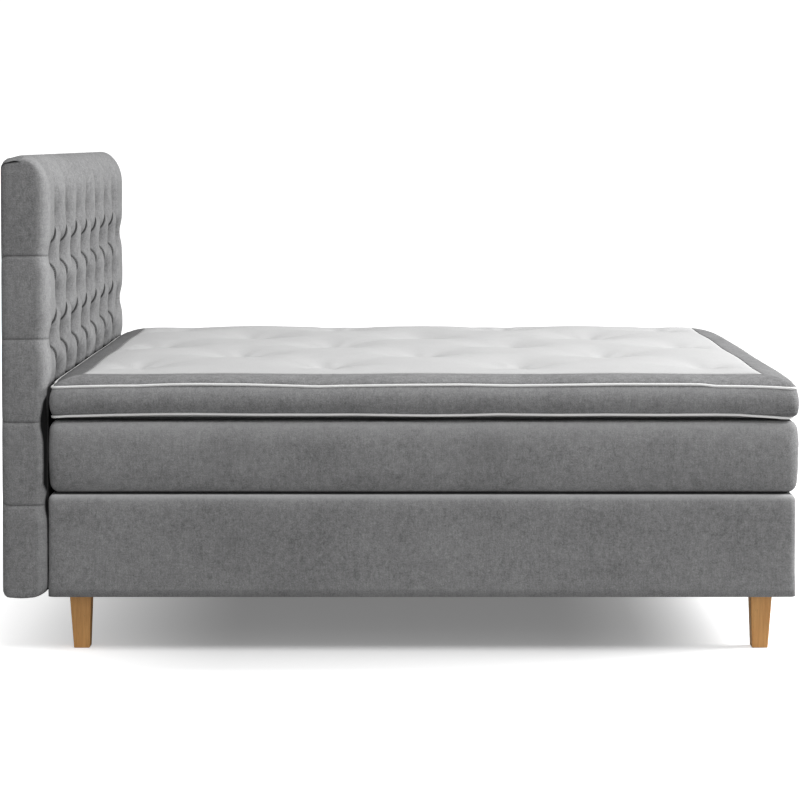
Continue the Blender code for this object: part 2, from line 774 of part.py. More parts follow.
def build_headboard_cover():
    quarter_y = TUFT_PITCH_Y / 4
    quarter_z = TUFT_PITCH_Z / 4
    side_extra = [HEADBOARD_SIDE_ROUND[1] / 4]
    lines_y = grid_lines(
        -HEADBOARD_HALF_WIDTH,
        HEADBOARD_HALF_WIDTH,
        quarter_y,
        -HEADBOARD_HALF_WIDTH + quarter_y,
        4 * TUFT_COLUMNS - 1,
        side_extra,
        side_extra,
    )
    lines_z = grid_lines(
        HEADBOARD_BOTTOM_Z,
        HEADBOARD_TOP_Z,
        quarter_z,
        TUFT_LOW_Z,
        2 * TUFT_ROWS - 1,
        [HEADBOARD_BOTTOM_ROUND[1]],
        [HEADBOARD_TOP_ROUND[1] * 3 / 4, HEADBOARD_TOP_ROUND[1] / 4],
    )
    bm = bmesh.new()
    columns = len(lines_y) - 1
    rows = len(lines_z) - 1
    bmesh.ops.create_grid(bm, x_segments=columns, y_segments=rows, size=1.0)
    for vert in bm.verts:
        column = round((vert.co.x + 1.0) / 2.0 * columns)
        row = round((vert.co.y + 1.0) / 2.0 * rows)
        y, z = lines_y[column], lines_z[row]
        at_side = (column == columns) - (column == 0)
        at_end = (row == rows) - (row == 0)
        draw_y, draw_z = edge_draw(y, z, at_side, at_end)
        vert.co = (headboard_front_x(y, z), y - draw_y, shouldered_z(y, z) - draw_z)

    ring = [edge for edge in bm.edges if edge.is_boundary]
    for place in (side_start, rounded_in(0.3, 0.3), rounded_in(0.7, 0.0)):
        ring = extrude_ring(bm, ring, place)
    bmesh.ops.contextual_create(bm, geom=ring)
    cover = add_mesh_part("headboard_cover", bm, "light_grey_fabric")

    recess_low = Vector(recess_corner(-1, HEADBOARD_BOTTOM_Z + HEADBOARD_WALL, BACK_X))
    recess_low.x = BACK_X + HEADBOARD_LIP_WALL
    recess_high = Vector(recess_corner(1, recess_top_z(), recess_floor_x()))
    cut(cover, box_cutter("headboard_recess", recess_low, recess_high))
    lip = Vector((0, HEADBOARD_LIP_WIDTH, HEADBOARD_LIP_WIDTH))
    window_low = recess_low + lip
    window_high = recess_high - lip
    window_low.x = BACK_X - CUT_OVERRUN
    window_high.x = BACK_X + CUT_OVERRUN
    cut(cover, box_cutter("headboard_window", window_low, window_high))
    return cover


def recess_corner(side, z, x):
    return (x, side * (HEADBOARD_HALF_WIDTH - HEADBOARD_WALL), z)


def recess_top_z():
    return HEADBOARD_TOP_Z - HEADBOARD_TOP_SLOPE - HEADBOARD_SHOULDER_DROP - HEADBOARD_WALL


def recess_floor_x():
    layers = BATTEN_THICKNESS + HEADBOARD_PANEL_THICKNESS + HEADBOARD_FOAM_THICKNESS
    return BACK_X + HEADBOARD_LIP_WALL + layers + 4 * SEAT_GAP


def build_headboard_inside():
    half = HEADBOARD_HALF_WIDTH - HEADBOARD_WALL - SEAT_GAP
    low_z = HEADBOARD_BOTTOM_Z + HEADBOARD_WALL + SEAT_GAP
    high_z = recess_top_z() - SEAT_GAP
    batten_back = BACK_X + HEADBOARD_LIP_WALL + SEAT_GAP
    batten_front = batten_back + BATTEN_THICKNESS
    for label, side in (("near", -1), ("far", 1)):
        outer = side * half
        inner = side * (half - BATTEN_WIDTH)
        block(
            "headboard_stile_" + label,
            (batten_back, min(outer, inner), low_z),
            (batten_front, max(outer, inner), high_z),
            "pine",
        )
    rail_half = half - BATTEN_WIDTH - SEAT_GAP
    middle_z = (low_z + high_z) / 2
    starts = {
        "bottom": low_z,
        "middle": middle_z - BATTEN_WIDTH / 2,
        "top": high_z - BATTEN_WIDTH,
    }
    for label, start_z in starts.items():
        block(
            "headboard_rail_" + label,
            (batten_back, -rail_half, start_z),
            (batten_front, rail_half, start_z + BATTEN_WIDTH),
            "pine",
        )
    panel_back = batten_front + SEAT_GAP
    panel_front = panel_back + HEADBOARD_PANEL_THICKNESS
    panel = block(
        "headboard_panel", (panel_back, -half, low_z), (panel_front, half, high_z), "chipboard"
    )
    foam = block(
        "headboard_foam",
        (panel_front + SEAT_GAP, -half, low_z),
        (recess_floor_x() - SEAT_GAP, half, high_z),
        "foam",
    )
    cloth_half = half - HEADBOARD_LIP_WIDTH
    cloth_front = batten_back - SEAT_GAP
    block(
        "headboard_back_cloth",
        (cloth_front - HEADBOARD_CLOTH_THICKNESS, -cloth_half, low_z + HEADBOARD_LIP_WIDTH),
        (cloth_front, cloth_half, high_z - HEADBOARD_LIP_WIDTH),
        "felt",
    )
    return panel, foam, panel_back


def build_headboard(head_rail, base_cover):
    cover = build_headboard_cover()
    panel, foam, panel_back = build_headboard_inside()
    seat_x = BASE_HEAD_X + RAIL_IN + SEAT_GAP
    tip_x = panel_back + BOLT_TIP_CLEARANCE
    quarter_turn = (0, math.pi / 2, 0)
    block_edge = BASE_HALF_WIDTH - RAIL_IN - SEAT_GAP - CORNER_BLOCK_SIDE
    outer_reach = block_edge - HEADBOARD_BOLT_FROM_BLOCK
    number = 0
    for side in (-1, 1):
        for reach in (outer_reach, outer_reach - HEADBOARD_BOLT_SPACING):
            number += 1
            place = (seat_x, side * reach, HEADBOARD_BOLT_Z)
            bolt("headboard_bolt_{}".format(number), place, seat_x - tip_x, quarter_turn)
            bore = bore_cutter(
                "headboard_bore_{}".format(number),
                place,
                seat_x - panel_back + CUT_OVERRUN,
                quarter_turn,
            )
            for bored in (head_rail, base_cover, cover, foam, panel):
                cut(bored, bore)


# Mattress

def build_mattress():
    head_x = BASE_HEAD_X
    outline_low = Vector((head_x + MATTRESS_SWELL, -MATTRESS_WIDTH / 2 + MATTRESS_SWELL, 0))
    outline_high = Vector(
        (head_x + MATTRESS_LENGTH - MATTRESS_SWELL, MATTRESS_WIDTH / 2 - MATTRESS_SWELL, 0)
    )

    def slab(inset, low_z, high_z):
        return (
            outline_low + Vector((inset, inset, low_z)),
            outline_high + Vector((-inset, -inset, high_z)),
        )

    swell_shares = [(0.0, 0.0), (0.25, 0.7), (0.5, 1.0), (0.75, 0.7), (1.0, 0.0)]
    band(
        "mattress_border",
        *slab(0, MATTRESS_Z, MATTRESS_TOP_Z),
        "grey_fabric",
        MATTRESS_EDGE_RADIUS,
        MATTRESS_COVER_WALL,
        [(share, MATTRESS_SWELL * swell) for share, swell in swell_shares],
        turned_in=MATTRESS_RETURN,
    )
    levels = {"bottom": MATTRESS_Z, "top": MATTRESS_TOP_Z - MATTRESS_COVER_WALL}
    for label, level in levels.items():
        block(
            "mattress_{}_panel".format(label),
            *slab(MATTRESS_RETURN + SEAT_GAP, level, level + MATTRESS_COVER_WALL),
            "grey_fabric",
        )
    filling = MATTRESS_COVER_WALL + SEAT_GAP
    inner_radius = MATTRESS_EDGE_RADIUS - filling + FILLING_ROUND_EASE
    floor_z = MATTRESS_Z + filling
    ceiling_z = MATTRESS_TOP_Z - filling
    block(
        "mattress_foam_bottom",
        *slab(filling, floor_z, floor_z + MATTRESS_FOAM_BOTTOM),
        "foam",
        radius=inner_radius,
        chosen=upright_and_bottom,
    )
    block(
        "mattress_foam_top",
        *slab(filling, ceiling_z - MATTRESS_FOAM_TOP, ceiling_z),
        "foam",
        radius=inner_radius,
        chosen=upright_and_top,
    )
    core_low = floor_z + MATTRESS_FOAM_BOTTOM + SEAT_GAP
    core_high = ceiling_z - MATTRESS_FOAM_TOP - SEAT_GAP
    spring_core(
        "mattress_core",
        outline_high.x - outline_low.x - 2 * filling,
        outline_high.y - outline_low.y - 2 * filling,
        MATTRESS_POCKET_PITCH,
        MATTRESS_POCKET_SWELL,
        ((outline_low.x + outline_high.x) / 2, 0, (core_low + core_high) / 2),
        core_high - core_low,
    )


# Topper

def round_path(length, width, radius):
    """Corner arcs of a rounded rectangle, joined by its straight sides."""
    path = []
    turns = [(1, 1, 0), (-1, 1, 1), (-1, -1, 2), (1, -1, 3)]
    for side_x, side_y, quarter in turns:
        centre = Vector((side_x * (length / 2 - radius), side_y * (width / 2 - radius)))
        for step in range(PIPE_CORNER_STEPS + 1):
            angle = math.pi / 2 * (quarter + step / PIPE_CORNER_STEPS)
            path.append(centre + radius * Vector((math.cos(angle), math.sin(angle))))
    return path


def piping(name, inset, z):
    curve = bpy.data.curves.new(name, "CURVE")
    curve.dimensions = "3D"
    curve.bevel_depth = TOPPER_PIPE_RADIUS
    curve.bevel_resolution = PIPE_RESOLUTION
    reach = inset + TOPPER_PIPE_RADIUS
    path = topper_path(reach, TOPPER_CORNER_RADIUS - reach)
    spline = curve.splines.new("POLY")
    spline.points.add(len(path) - 1)
    for point, place in zip(spline.points, path):
        point.co = (place.x, place.y, 0, 1)
    spline.use_cyclic_u = True
    return add_part(name, curve, "white_piping", (TOPPER_MIDDLE_X, 0, z))


def topper_slab(inset, low_z, high_z):
    half_x = TOPPER_LENGTH / 2 - inset
    half_y = BED_WIDTH / 2 - inset
    return (
        Vector((TOPPER_MIDDLE_X - half_x, -half_y, low_z)),
        Vector((TOPPER_MIDDLE_X + half_x, half_y, high_z)),
    )


def panel_height(x, y, half_x, half_y):
    """Height of the white panel above its seam: a crown with soft dips where it is tufted."""
    edge = min(half_x - abs(x), half_y - abs(y))
    rise = TOPPER_CROWN * (1.0 - (1.0 - min(edge / TOPPER_CROWN_REACH, 1.0)) ** 2)
    middle_row = (TOPPER_TUFT_ROWS - 1) / 2
    dip = 0.0
    for row in range(TOPPER_TUFT_ROWS):
        tuft_y = (row - middle_row) * TOPPER_TUFT_PITCH_Y
        count = 4 if row % 2 == 0 else 3
        for column in range(count):
            tuft_x = (column - (count - 1) / 2) * TOPPER_TUFT_PITCH_X
            away = math.hypot(x - tuft_x, y - tuft_y)
            dip = max(dip, math.exp(-away / TOPPER_TUFT_REACH))
    return rise * (1.0 - dip * TOPPER_TUFT_DEPTH / TOPPER_CROWN)


def build_topper_panel(bottom_z, seam_z):
    half_x = TOPPER_LENGTH / 2 - TOPPER_BORDER_WIDTH - SEAT_GAP
    half_y = BED_WIDTH / 2 - TOPPER_BORDER_WIDTH - SEAT_GAP
    bm = bmesh.new()
    scale = Matrix.Diagonal((half_x, half_y, 1.0, 1.0))
    bmesh.ops.create_grid(bm, x_segments=28, y_segments=20, size=1.0, matrix=scale)
    for vert in bm.verts:
        vert.co.z = seam_z - bottom_z + panel_height(vert.co.x, vert.co.y, half_x, half_y)
    rim = [edge for edge in bm.edges if edge.is_boundary]
    skirt = bmesh.ops.extrude_edge_only(bm, edges=rim)["geom"]
    for vert in skirt:
        if isinstance(vert, bmesh.types.BMVert):
            vert.co.z = 0
    base = [edge for edge in skirt if isinstance(edge, bmesh.types.BMEdge) and edge.is_boundary]
    bmesh.ops.contextual_create(bm, geom=base)
    add_mesh_part("topper_panel", bm, "white_fabric", (TOPPER_MIDDLE_X, 0, bottom_z))


def topper_path(inset, radius):
    return round_path(TOPPER_LENGTH - 2 * inset, BED_WIDTH - 2 * inset, radius)


def from_path_to_path(old_path, new_path, z):
    def place(co):
        nearest = min(range(len(old_path)), key=lambda i: (old_path[i] - co.xy).length)
        return Vector((*new_path[nearest], z))

    return place


def build_topper_border(bottom_z, edge_z, seam_z, outer_inset):
    """The sloping grey frame of the top, from the piping up to the white panel's seam."""
    outer = topper_path(outer_inset, TOPPER_CORNER_RADIUS - outer_inset + FILLING_ROUND_EASE)
    middle = topper_path(TOPPER_BORDER_WIDTH / 2, TOPPER_CORNER_RADIUS / 2)
    seam = topper_path(TOPPER_BORDER_WIDTH, TOPPER_CORNER_RADIUS / 4)
    inner = topper_path(TOPPER_BORDER_WIDTH + TOPPER_CORNER_RADIUS, TOPPER_CORNER_RADIUS / 4)
    middle_z = (edge_z + seam_z) / 2 + TOPPER_BORDER_PUFF
    bm = bmesh.new()
    bmesh.ops.create_circle(bm, segments=len(outer), radius=1.0)
    for vert, place in zip(bm.verts, outer):
        vert.co = (*place, bottom_z)
    ring = bm.edges[:]
    bmesh.ops.contextual_create(bm, geom=ring)
    path = outer
    levels = [(outer, edge_z), (middle, middle_z), (seam, seam_z), (inner, seam_z)]
    for next_path, z in levels:
        ring = extrude_ring(bm, ring, from_path_to_path(path, next_path, z))
        path = next_path
    bmesh.ops.contextual_create(bm, geom=ring)
    border = add_mesh_part("topper_border", bm, "grey_fabric", (TOPPER_MIDDLE_X, 0, 0))
    opening_low, opening_high = topper_slab(
        TOPPER_BORDER_WIDTH, bottom_z - CUT_OVERRUN, seam_z + CUT_OVERRUN
    )
    cut(border, box_cutter("topper_opening", opening_low, opening_high))


def build_topper():
    low_pipe_z = TOPPER_Z + TOPPER_LOW_PIPE_RISE
    high_pipe_z = low_pipe_z + TOPPER_BAND_HEIGHT
    pipe_reach = TOPPER_PIPE_RADIUS + SEAT_GAP
    piping("topper_piping_bottom", TOPPER_LOW_DRAW_IN, low_pipe_z)
    piping("topper_piping_top", 0, high_pipe_z)
    draw_shares = [(0.0, 1.0), (0.12, 0.42), (0.3, 0.12), (0.5, 0.0), (1.0, 0.0)]
    band(
        "topper_band",
        *topper_slab(TOPPER_BAND_INSET, low_pipe_z + pipe_reach, high_pipe_z - pipe_reach),
        "grey_fabric",
        TOPPER_CORNER_RADIUS - TOPPER_BAND_INSET,
        TOPPER_BAND_WALL,
        [(share, -TOPPER_LOW_DRAW_IN * draw) for share, draw in draw_shares],
    )
    bottom_inset = TOPPER_LOW_DRAW_IN + 2 * TOPPER_PIPE_RADIUS + SEAT_GAP
    block(
        "topper_bottom_panel",
        *topper_slab(bottom_inset, TOPPER_Z, TOPPER_Z + TOPPER_BOTTOM_THICKNESS),
        "white_fabric",
        radius=TOPPER_BOTTOM_ROUND,
        chosen=upright_and_bottom,
    )
    foam_top_z = high_pipe_z - TOPPER_FOAM_TOP_DROP
    inner = TOPPER_BAND_INSET + TOPPER_BAND_WALL + SEAT_GAP
    block(
        "topper_foam",
        *topper_slab(inner, TOPPER_Z + TOPPER_BOTTOM_THICKNESS + SEAT_GAP, foam_top_z),
        "foam",
        radius=TOPPER_FOAM_ROUND,
        chosen=upright_and_bottom,
    )
    layer_z = foam_top_z + SEAT_GAP
    edge_z = high_pipe_z + TOPPER_BORDER_EDGE
    seam_z = high_pipe_z + TOPPER_BORDER_RISE
    build_topper_border(layer_z, edge_z, seam_z, inner)
    build_topper_panel(layer_z, seam_z)


def shade_round_pieces():
    for part in PARTS.objects:
        if part.type == "MESH":
            part.data.shade_smooth()
            part.data.set_sharp_from_angle(angle=math.radians(35))


def main():
    head_rail, centre_rail = build_rails()
    build_slats()
    base_cover, dust_cover = build_base_filling()
    build_legs(dust_cover, centre_rail)
    build_headboard(head_rail, base_cover)
    build_mattress()
    build_topper()
    shade_round_pieces()


main()
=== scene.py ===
"""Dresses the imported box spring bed: soft covers, piping, wood and steel, camera and light."""

import math

import bpy
import numpy as np
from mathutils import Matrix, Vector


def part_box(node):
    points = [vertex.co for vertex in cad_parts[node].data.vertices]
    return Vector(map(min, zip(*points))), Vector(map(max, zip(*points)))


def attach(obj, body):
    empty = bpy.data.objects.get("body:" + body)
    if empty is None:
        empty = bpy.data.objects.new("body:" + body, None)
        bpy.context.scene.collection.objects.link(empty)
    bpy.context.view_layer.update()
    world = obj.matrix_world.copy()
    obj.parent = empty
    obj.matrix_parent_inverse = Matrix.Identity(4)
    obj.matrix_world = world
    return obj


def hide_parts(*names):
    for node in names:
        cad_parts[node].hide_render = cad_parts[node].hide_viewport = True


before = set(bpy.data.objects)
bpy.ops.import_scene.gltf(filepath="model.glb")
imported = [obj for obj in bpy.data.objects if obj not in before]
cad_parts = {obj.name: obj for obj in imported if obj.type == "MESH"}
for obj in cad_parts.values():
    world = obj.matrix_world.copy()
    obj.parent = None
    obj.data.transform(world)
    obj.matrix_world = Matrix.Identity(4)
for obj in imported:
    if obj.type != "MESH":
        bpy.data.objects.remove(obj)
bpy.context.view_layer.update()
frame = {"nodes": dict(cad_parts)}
nodes = frame["nodes"]

# Sizes of the headboard, in metres, and shares, fitted to its CAD and to the photograph

HALF_WIDTH = 0.900
HEADBOARD_LOW = 0.147
HEADBOARD_HIGH = 1.335
HEADBOARD_MIDDLE = 0.7
BACK_X = -1.06855
CREST_X = -0.93605
PRESS_X = -0.94675
PRESS_TOP = 0.700
PRESS_BLEND = 0.060
BACK_RADIUS = 0.022
BACK_STEPS = 4
SIDE_ROUND = (0.032, 0.048)
TOP_ROUND = (0.071, 0.110)
TOE_ROUND = (0.054, 0.048)
SIDE_RINGS = (0.06, 0.16, 0.30, 0.45, 0.60, 0.75, 0.88, 1.0)
SIDE_FULLNESS = 0.0015
TOP_SLOPE = 0.007
SHOULDER_DROP = 0.011
SHOULDER_WIDTH = 0.060
CORNER_ROUND = 0.006
SEAM_BELOW = 0.0135
SEAM_WIDTH = 0.0035
SEAM_DEPTH = 0.0030
SEAM_START = 0.35
SEAM_RUN = 0.12
CREVICE_TOP = 0.022
CREVICE_LOW = 0.011
CREVICE_EDGE = 0.004
WINDOW_INSET = 0.050
LINING_DEPTH = 0.003

# Its tufts, pleats and channels, and the painted shade and painted highlights on its cloth

TUFT_COLUMNS = 8
TUFT_ROWS = 9
TUFT_HIGH = 1.1775
TUFT_LOW = 0.2847
TUFT_PITCH_Y = 2 * HALF_WIDTH / TUFT_COLUMNS
TUFT_PITCH_Z = (TUFT_HIGH - TUFT_LOW) * 2 / (TUFT_ROWS - 1)
TUFT_TOP_MARGIN = HEADBOARD_HIGH - TUFT_HIGH
TUFT_BOTTOM_MARGIN = TUFT_LOW - HEADBOARD_LOW
TUFT_DEPTH = 0.042
BOWL_REACH = 0.032
BOWL_STRETCH = 1.7
BOWL_POWER = 2.2
BOWL_SHADE_REACH = 0.031
BOWL_SHADE = 0.84
PLEAT_DEPTH = 0.165
PLEAT_RUN = 0.30
PLEAT_WALL = 0.028
PLEAT_LINE = 0.048
DRAWN_DEPTH = 0.17
DRAWN_REACH = 0.05
DRAWN_LINE = 0.32
DRAWN_LINE_REACH = 0.02
SIDE_SHARE = 0.82
SIDE_FADE = 0.45
CHANNEL_SHARE = 0.80
CREST_DROP = 0.05
PLEAT_LIPS = ((0.0026, 0.0030), (0.0028, 0.026))
CHANNEL_LIPS = ((0.0022, 0.0040), (0.0025, 0.030))
PULL_LINE = 0.0022
LIP_HIGHLIGHT = 0.26
LIGHT_LIP_BELOW = 0.0065
LIGHT_LIP_REACH = 0.0035
RIM_LINE = 0.45
CHANNEL_LINE = 0.7
FRONT_HIGHLIGHT = 0.05
ROLL_HIGHLIGHT = 0.14
ROLL_REACH = 0.020

# The grid of its front, and what makes that uneven

CELLS_PER_HALF_PITCH = 30
CELL_CROWDING = 0.45
BOTTOM_CELLS = 26
TOP_CELLS = 30
SIDE_CROWDING = 1.5
END_CROWDING = 1.7

SPOKE_WINDOW = 0.09
SPOKE_REACH = 0.022
SPOKE_START = 0.012
SPOKE_DEPTH = 0.0012
FRONT_UNEVEN = (0.0018, 0.10, 3)
FRONT_DRIFT = (0.0022, 0.16)

BUTTON_RADIUS = 0.011
BUTTON_HEIGHT = 0.008

# Sizes of base and mattress, whose foot ends reach a little past their CAD solids

BASE_X = (-0.94645, 1.0640)
BASE_Z = (0.150, 0.427)
MATTRESS_X = (-0.94645, 1.0735)
MATTRESS_Y = 0.902
MATTRESS_Z = (0.4273, 0.6273)
MATTRESS_SWELL = 0.0065
MATTRESS_ROUND = 0.028
MATTRESS_UNEVEN = ((0.0011, 0.45, 21), (0.0006, 0.12, 22))
MATTRESS_CELL = 0.022
MATTRESS_RIM = 0.05
MATTRESS_SUNK = (0.0012, 0.3, 23)
MATTRESS_GAPS = (0.0012, 0.0022)
MATTRESS_EDGE_HIGHLIGHT = (0.50, 0.026)
BASE_ROUND = 0.020
BASE_CELL = 0.024
BASE_RIM = 0.03
BASE_HEM = (0.0006, 0.004)
BASE_EDGE_HIGHLIGHT = (0.85, 0.010)
HEM_HIGHLIGHT = (0.10, 0.012)
ROUND_SEGMENTS = 6
BASE_UNEVEN = ((0.0009, 0.5, 31), (0.0004, 0.10, 32))

# Sizes of the topper

TOPPER_X = (-0.93575, 1.06825)
TOPPER_BOTTOM = 0.6276
TOPPER_CORNER = 0.025
LOW_PIPE = 0.6396
HIGH_PIPE = 0.7181
PIPE_RADIUS = 0.0036
LOW_DRAW_IN = 0.012
LOW_SIDE_DRAW_IN = 0.004
SIDE_BELLY = 0.0085
HEAD_PRESS = 0.0028
BAND_UNEVEN = ((0.0009, 0.22, 43), (0.0005, 0.07, 44))
BAND_RINGS = (0.0, 0.03, 0.07, 0.12, 0.2, 0.3, 0.42, 0.55, 0.68, 0.8, 0.88, 0.94, 0.98, 1.0)
BAND_PINCH = (0.0015, 0.03)
BAND_HOLLOW = 0.0062
BAND_PROUD = 0.0024
BAND_SEAMS = (0.6, 0.03)
BAND_HIGHLIGHT = (0.36, 0.20)
FOOT_DRAWN = ((0.0, 0.05, 0.10, 1.0), (0.85, 0.30, 0.0, 0.0))
LOW_DRAWN = ((0.0, 0.05, 0.12, 0.25, 0.4, 1.0), (0.85, 0.62, 0.40, 0.16, 0.0, 0.0))
BORDER_WIDTH = 0.087
BORDER_PUFF = 0.0075
BORDER_SEAM = 0.0015
BORDER_RINGS = (0.0, 0.03, 0.08, 0.16, 0.28, 0.42, 0.56, 0.70, 0.82, 0.91, 0.97, 1.0)
BORDER_START = 0.004
PANEL_CORNER = 0.004
BORDER_LINES = ((0.5, 0.05), (0.5, 0.04))
BORDER_HEAD_SHADE = 0.42
BORDER_UNEVEN = ((0.0013, 0.20, 51), (0.0006, 0.07, 52))
HEAD_BORDER_GAIN = 0.011
SEAM_RISE = 0.0225
SEAM_LIFT = 0.0030
SEAM_DIP = 0.0058
SEAM_DIP_REACH = 0.19
CROWN = 0.0165
CROWN_REACH = 0.160
PANEL_PITCH_X = 0.525
PANEL_PITCH_Y = 0.320
PANEL_TUFT_DEPTH = 0.035
PANEL_TUFT_REACH = 0.074
PANEL_TUFT_ROWS = 5
PANEL_TUFT_COLUMNS = 4
PANEL_ROLL = 0.0022
PANEL_UNEVEN = ((0.0010, 0.25, 62), (0.0005, 0.08, 63))
WAVE_UNEVEN = (2.0, 0.42)
UNDERSIDE_RINGS = ((0.009, 0.0), (0.012, 0.18), (0.022, 0.5), (0.036, 0.85), (0.055, 1.0))
UNDERSIDE_FLAT = 0.30
REST_CLEARANCE = 0.0003
PANEL_CELLS = (164, 146)
PANEL_HELD_EDGE = 0.010
PANEL_HELD_DIP = 0.80

# Cloth simulation and ripples

CLOTH_SETTINGS = {
    "quality": 5,
    "mass": 0.3,
    "tension_stiffness": 25.0,
    "compression_stiffness": 12.0,
    "shear_stiffness": 12.0,
    "bending_stiffness": 0.8,
    "vertex_group_mass": "held",
    "use_pressure": True,
    "uniform_pressure_force": 4.0,
}
CLOTH_FRAMES = 16
CLOTH_REACH = 0.004

RIPPLE_WAVES = 7
RIPPLE_GAIN = 1.6


# Hand tools for the modelling below

def pick(piece):
    """Selects only this piece and makes it the active one."""
    bpy.ops.object.select_all(action="DESELECT")
    piece.select_set(True)
    bpy.context.view_layer.objects.active = piece


def start_edit(piece, kind="VERT"):
    """Opens the piece in edit mode, to choose corners, edges or faces."""
    pick(piece)
    bpy.ops.object.mode_set(mode="EDIT")
    bpy.ops.mesh.select_mode(type=kind)


def end_edit():
    bpy.ops.object.mode_set(mode="OBJECT")


def fresh(name):
    """Names what an operator has just made."""
    piece = bpy.context.object
    piece.name = name
    piece.data.name = name
    return piece


def corners(piece):
    """The places of all corners, one row each."""
    flat = np.empty(3 * len(piece.data.vertices))
    piece.data.vertices.foreach_get("co", flat)
    return flat.reshape(-1, 3)


def put(piece, places):
    """Moves all corners to these places."""
    piece.data.vertices.foreach_set("co", places.ravel())
    piece.data.update()


def chosen(piece):
    """Which corners are selected."""
    mask = np.empty(len(piece.data.vertices), dtype=bool)
    piece.data.vertices.foreach_get("select", mask)
    return mask


def note(piece, name, values):
    """Writes one number per corner on the mesh, where materials and later steps find it."""
    layer = piece.data.attributes.get(name) or piece.data.attributes.new(name, "FLOAT", "POINT")
    layer.data.foreach_set("value", np.asarray(values, dtype=np.float32))


def noted(piece, name):
    """Reads back what note wrote."""
    values = np.empty(len(piece.data.vertices), dtype=np.float32)
    piece.data.attributes[name].data.foreach_get("value", values)
    return values.astype(float)


def modify(piece, kind, **settings):
    """Adds a modifier and applies it."""
    pick(piece)
    tool = piece.modifiers.new(kind.lower(), kind)
    for key, value in settings.items():
        setattr(tool, key, value)
    bpy.ops.object.modifier_apply(modifier=tool.name)


def smooth(piece):
    pick(piece)
    bpy.ops.object.shade_smooth()


def settle(piece):
    """Puts the piece's place into its mesh, so that its object sits at the origin."""
    pick(piece)
    bpy.ops.object.transform_apply(location=True, rotation=True, scale=True)


def face_outwards(piece):
    """Turns all faces of a closed piece outwards."""
    start_edit(piece, "FACE")
    bpy.ops.mesh.select_all(action="SELECT")
    bpy.ops.mesh.normals_make_consistent(inside=False)
    end_edit()


def turn_over(piece):
    """Turns every face the other way."""
    start_edit(piece, "FACE")
    bpy.ops.mesh.select_all(action="SELECT")
    bpy.ops.mesh.flip_normals()
    end_edit()


def slice_across(piece, axis, places):
    """Cuts the whole mesh along planes, as loop cuts would."""
    normal = [0, 0, 0]
    normal[axis] = 1
    start_edit(piece)
    for place in places:
        point = [0, 0, 0]
        point[axis] = place
        bpy.ops.mesh.select_all(action="SELECT")
        bpy.ops.mesh.bisect(plane_co=point, plane_no=normal)
    end_edit()


def extrude_rim(piece, place):
    """Extrudes the chosen edge once and moves the new corners where place says."""
    start_edit(piece, "EDGE")
    bpy.ops.mesh.extrude_region()
    end_edit()
    new = chosen(piece)
    spots = corners(piece)
    spots[new] = place(spots[new], new)
    put(piece, spots)


def swell_cloth(piece, held):
    """Lets a cover swell in Blender's cloth simulation, held where it is sewn or lies against
    something. Points only move outwards, and no further than CLOTH_REACH from their start.
    """
    pick(piece)
    start = corners(piece)
    outward = np.zeros(start.size)
    piece.data.vertices.foreach_get("normal", outward)
    outward = outward.reshape(-1, 3)
    group = piece.vertex_groups.new(name="held")
    for index, weight in enumerate(held):
        group.add([index], float(weight), "REPLACE")
    cloth = piece.modifiers.new("cloth", "CLOTH")
    for key, value in CLOTH_SETTINGS.items():
        setattr(cloth.settings, key, value)
    cloth.settings.effector_weights.gravity = 0.0
    cloth.point_cache.frame_end = CLOTH_FRAMES
    for frame_number in range(1, CLOTH_FRAMES + 1):
        bpy.context.scene.frame_set(frame_number)
    bpy.ops.object.modifier_apply(modifier="cloth")
    bpy.context.scene.frame_set(1)
    piece.vertex_groups.clear()
    swollen = ((corners(piece) - start) * outward).sum(axis=1)
    put(piece, start + outward * np.clip(swollen, 0.0, CLOTH_REACH)[:, None])


def ripple(places, size, seed):
    """Smooth, repeatable unevenness between -1 and 1, with lumps about size across."""
    dice = np.random.RandomState(seed)
    total = np.zeros(len(places))
    for _ in range(RIPPLE_WAVES):
        direction = dice.normal(size=3)
        direction /= np.linalg.norm(direction)
        turn = 2 * math.pi / (size * dice.uniform(0.7, 1.6))
        total += np.sin(places @ direction * turn + dice.uniform(0, 2 * math.pi))
    return total / RIPPLE_WAVES * RIPPLE_GAIN


def unevenness(places, layers, lowered=0.0):
    """Ripples in layers, each with its depth, size and seed; lowered 1 leaves only hollows."""
    return sum(depth * (ripple(places, size, seed) - lowered) for depth, size, seed in layers)


def smooth_step(share):
    """From 0 to 1 with a soft start and a soft stop."""
    held = np.clip(share, 0.0, 1.0)
    return held * held * (3.0 - 2.0 * held)


def faded(strength, distance):
    """Strength is a pair: the most there is, and how far it takes to fade."""
    most, reach = strength
    return most * np.exp(-distance / reach)


def rounding(distance, drop, reach):
    """How far a surface falls near an edge that is rounded over."""
    share = np.clip(1.0 - distance / reach, 0.0, 1.0)
    return drop * (1.0 - np.sqrt(1.0 - share * share))


# The camera stands square to the near side, tilted down a little and shifted for the rest

camera_data = bpy.data.cameras.new("camera")
camera_data.sensor_width = 36.0
camera_data.lens = 111.96
camera_data.shift_y = -0.2176
camera = bpy.data.objects.new("camera", camera_data)
camera.location = (0.0, -7.5357, 1.3781)
camera.rotation_euler = (math.radians(88.0), 0.0, 0.0)
bpy.context.collection.objects.link(camera)
bpy.context.scene.camera = camera


# Headboard cover

def tuft_places():
    """The tufts' places across and up: rows of seven and eight by turns, from the top down."""
    places = []
    for row in range(TUFT_ROWS):
        z = TUFT_HIGH - row * TUFT_PITCH_Z / 2
        count = TUFT_COLUMNS - 1 + row % 2
        for column in range(count):
            places.append(((column - (count - 1) / 2) * TUFT_PITCH_Y, z))
    return places


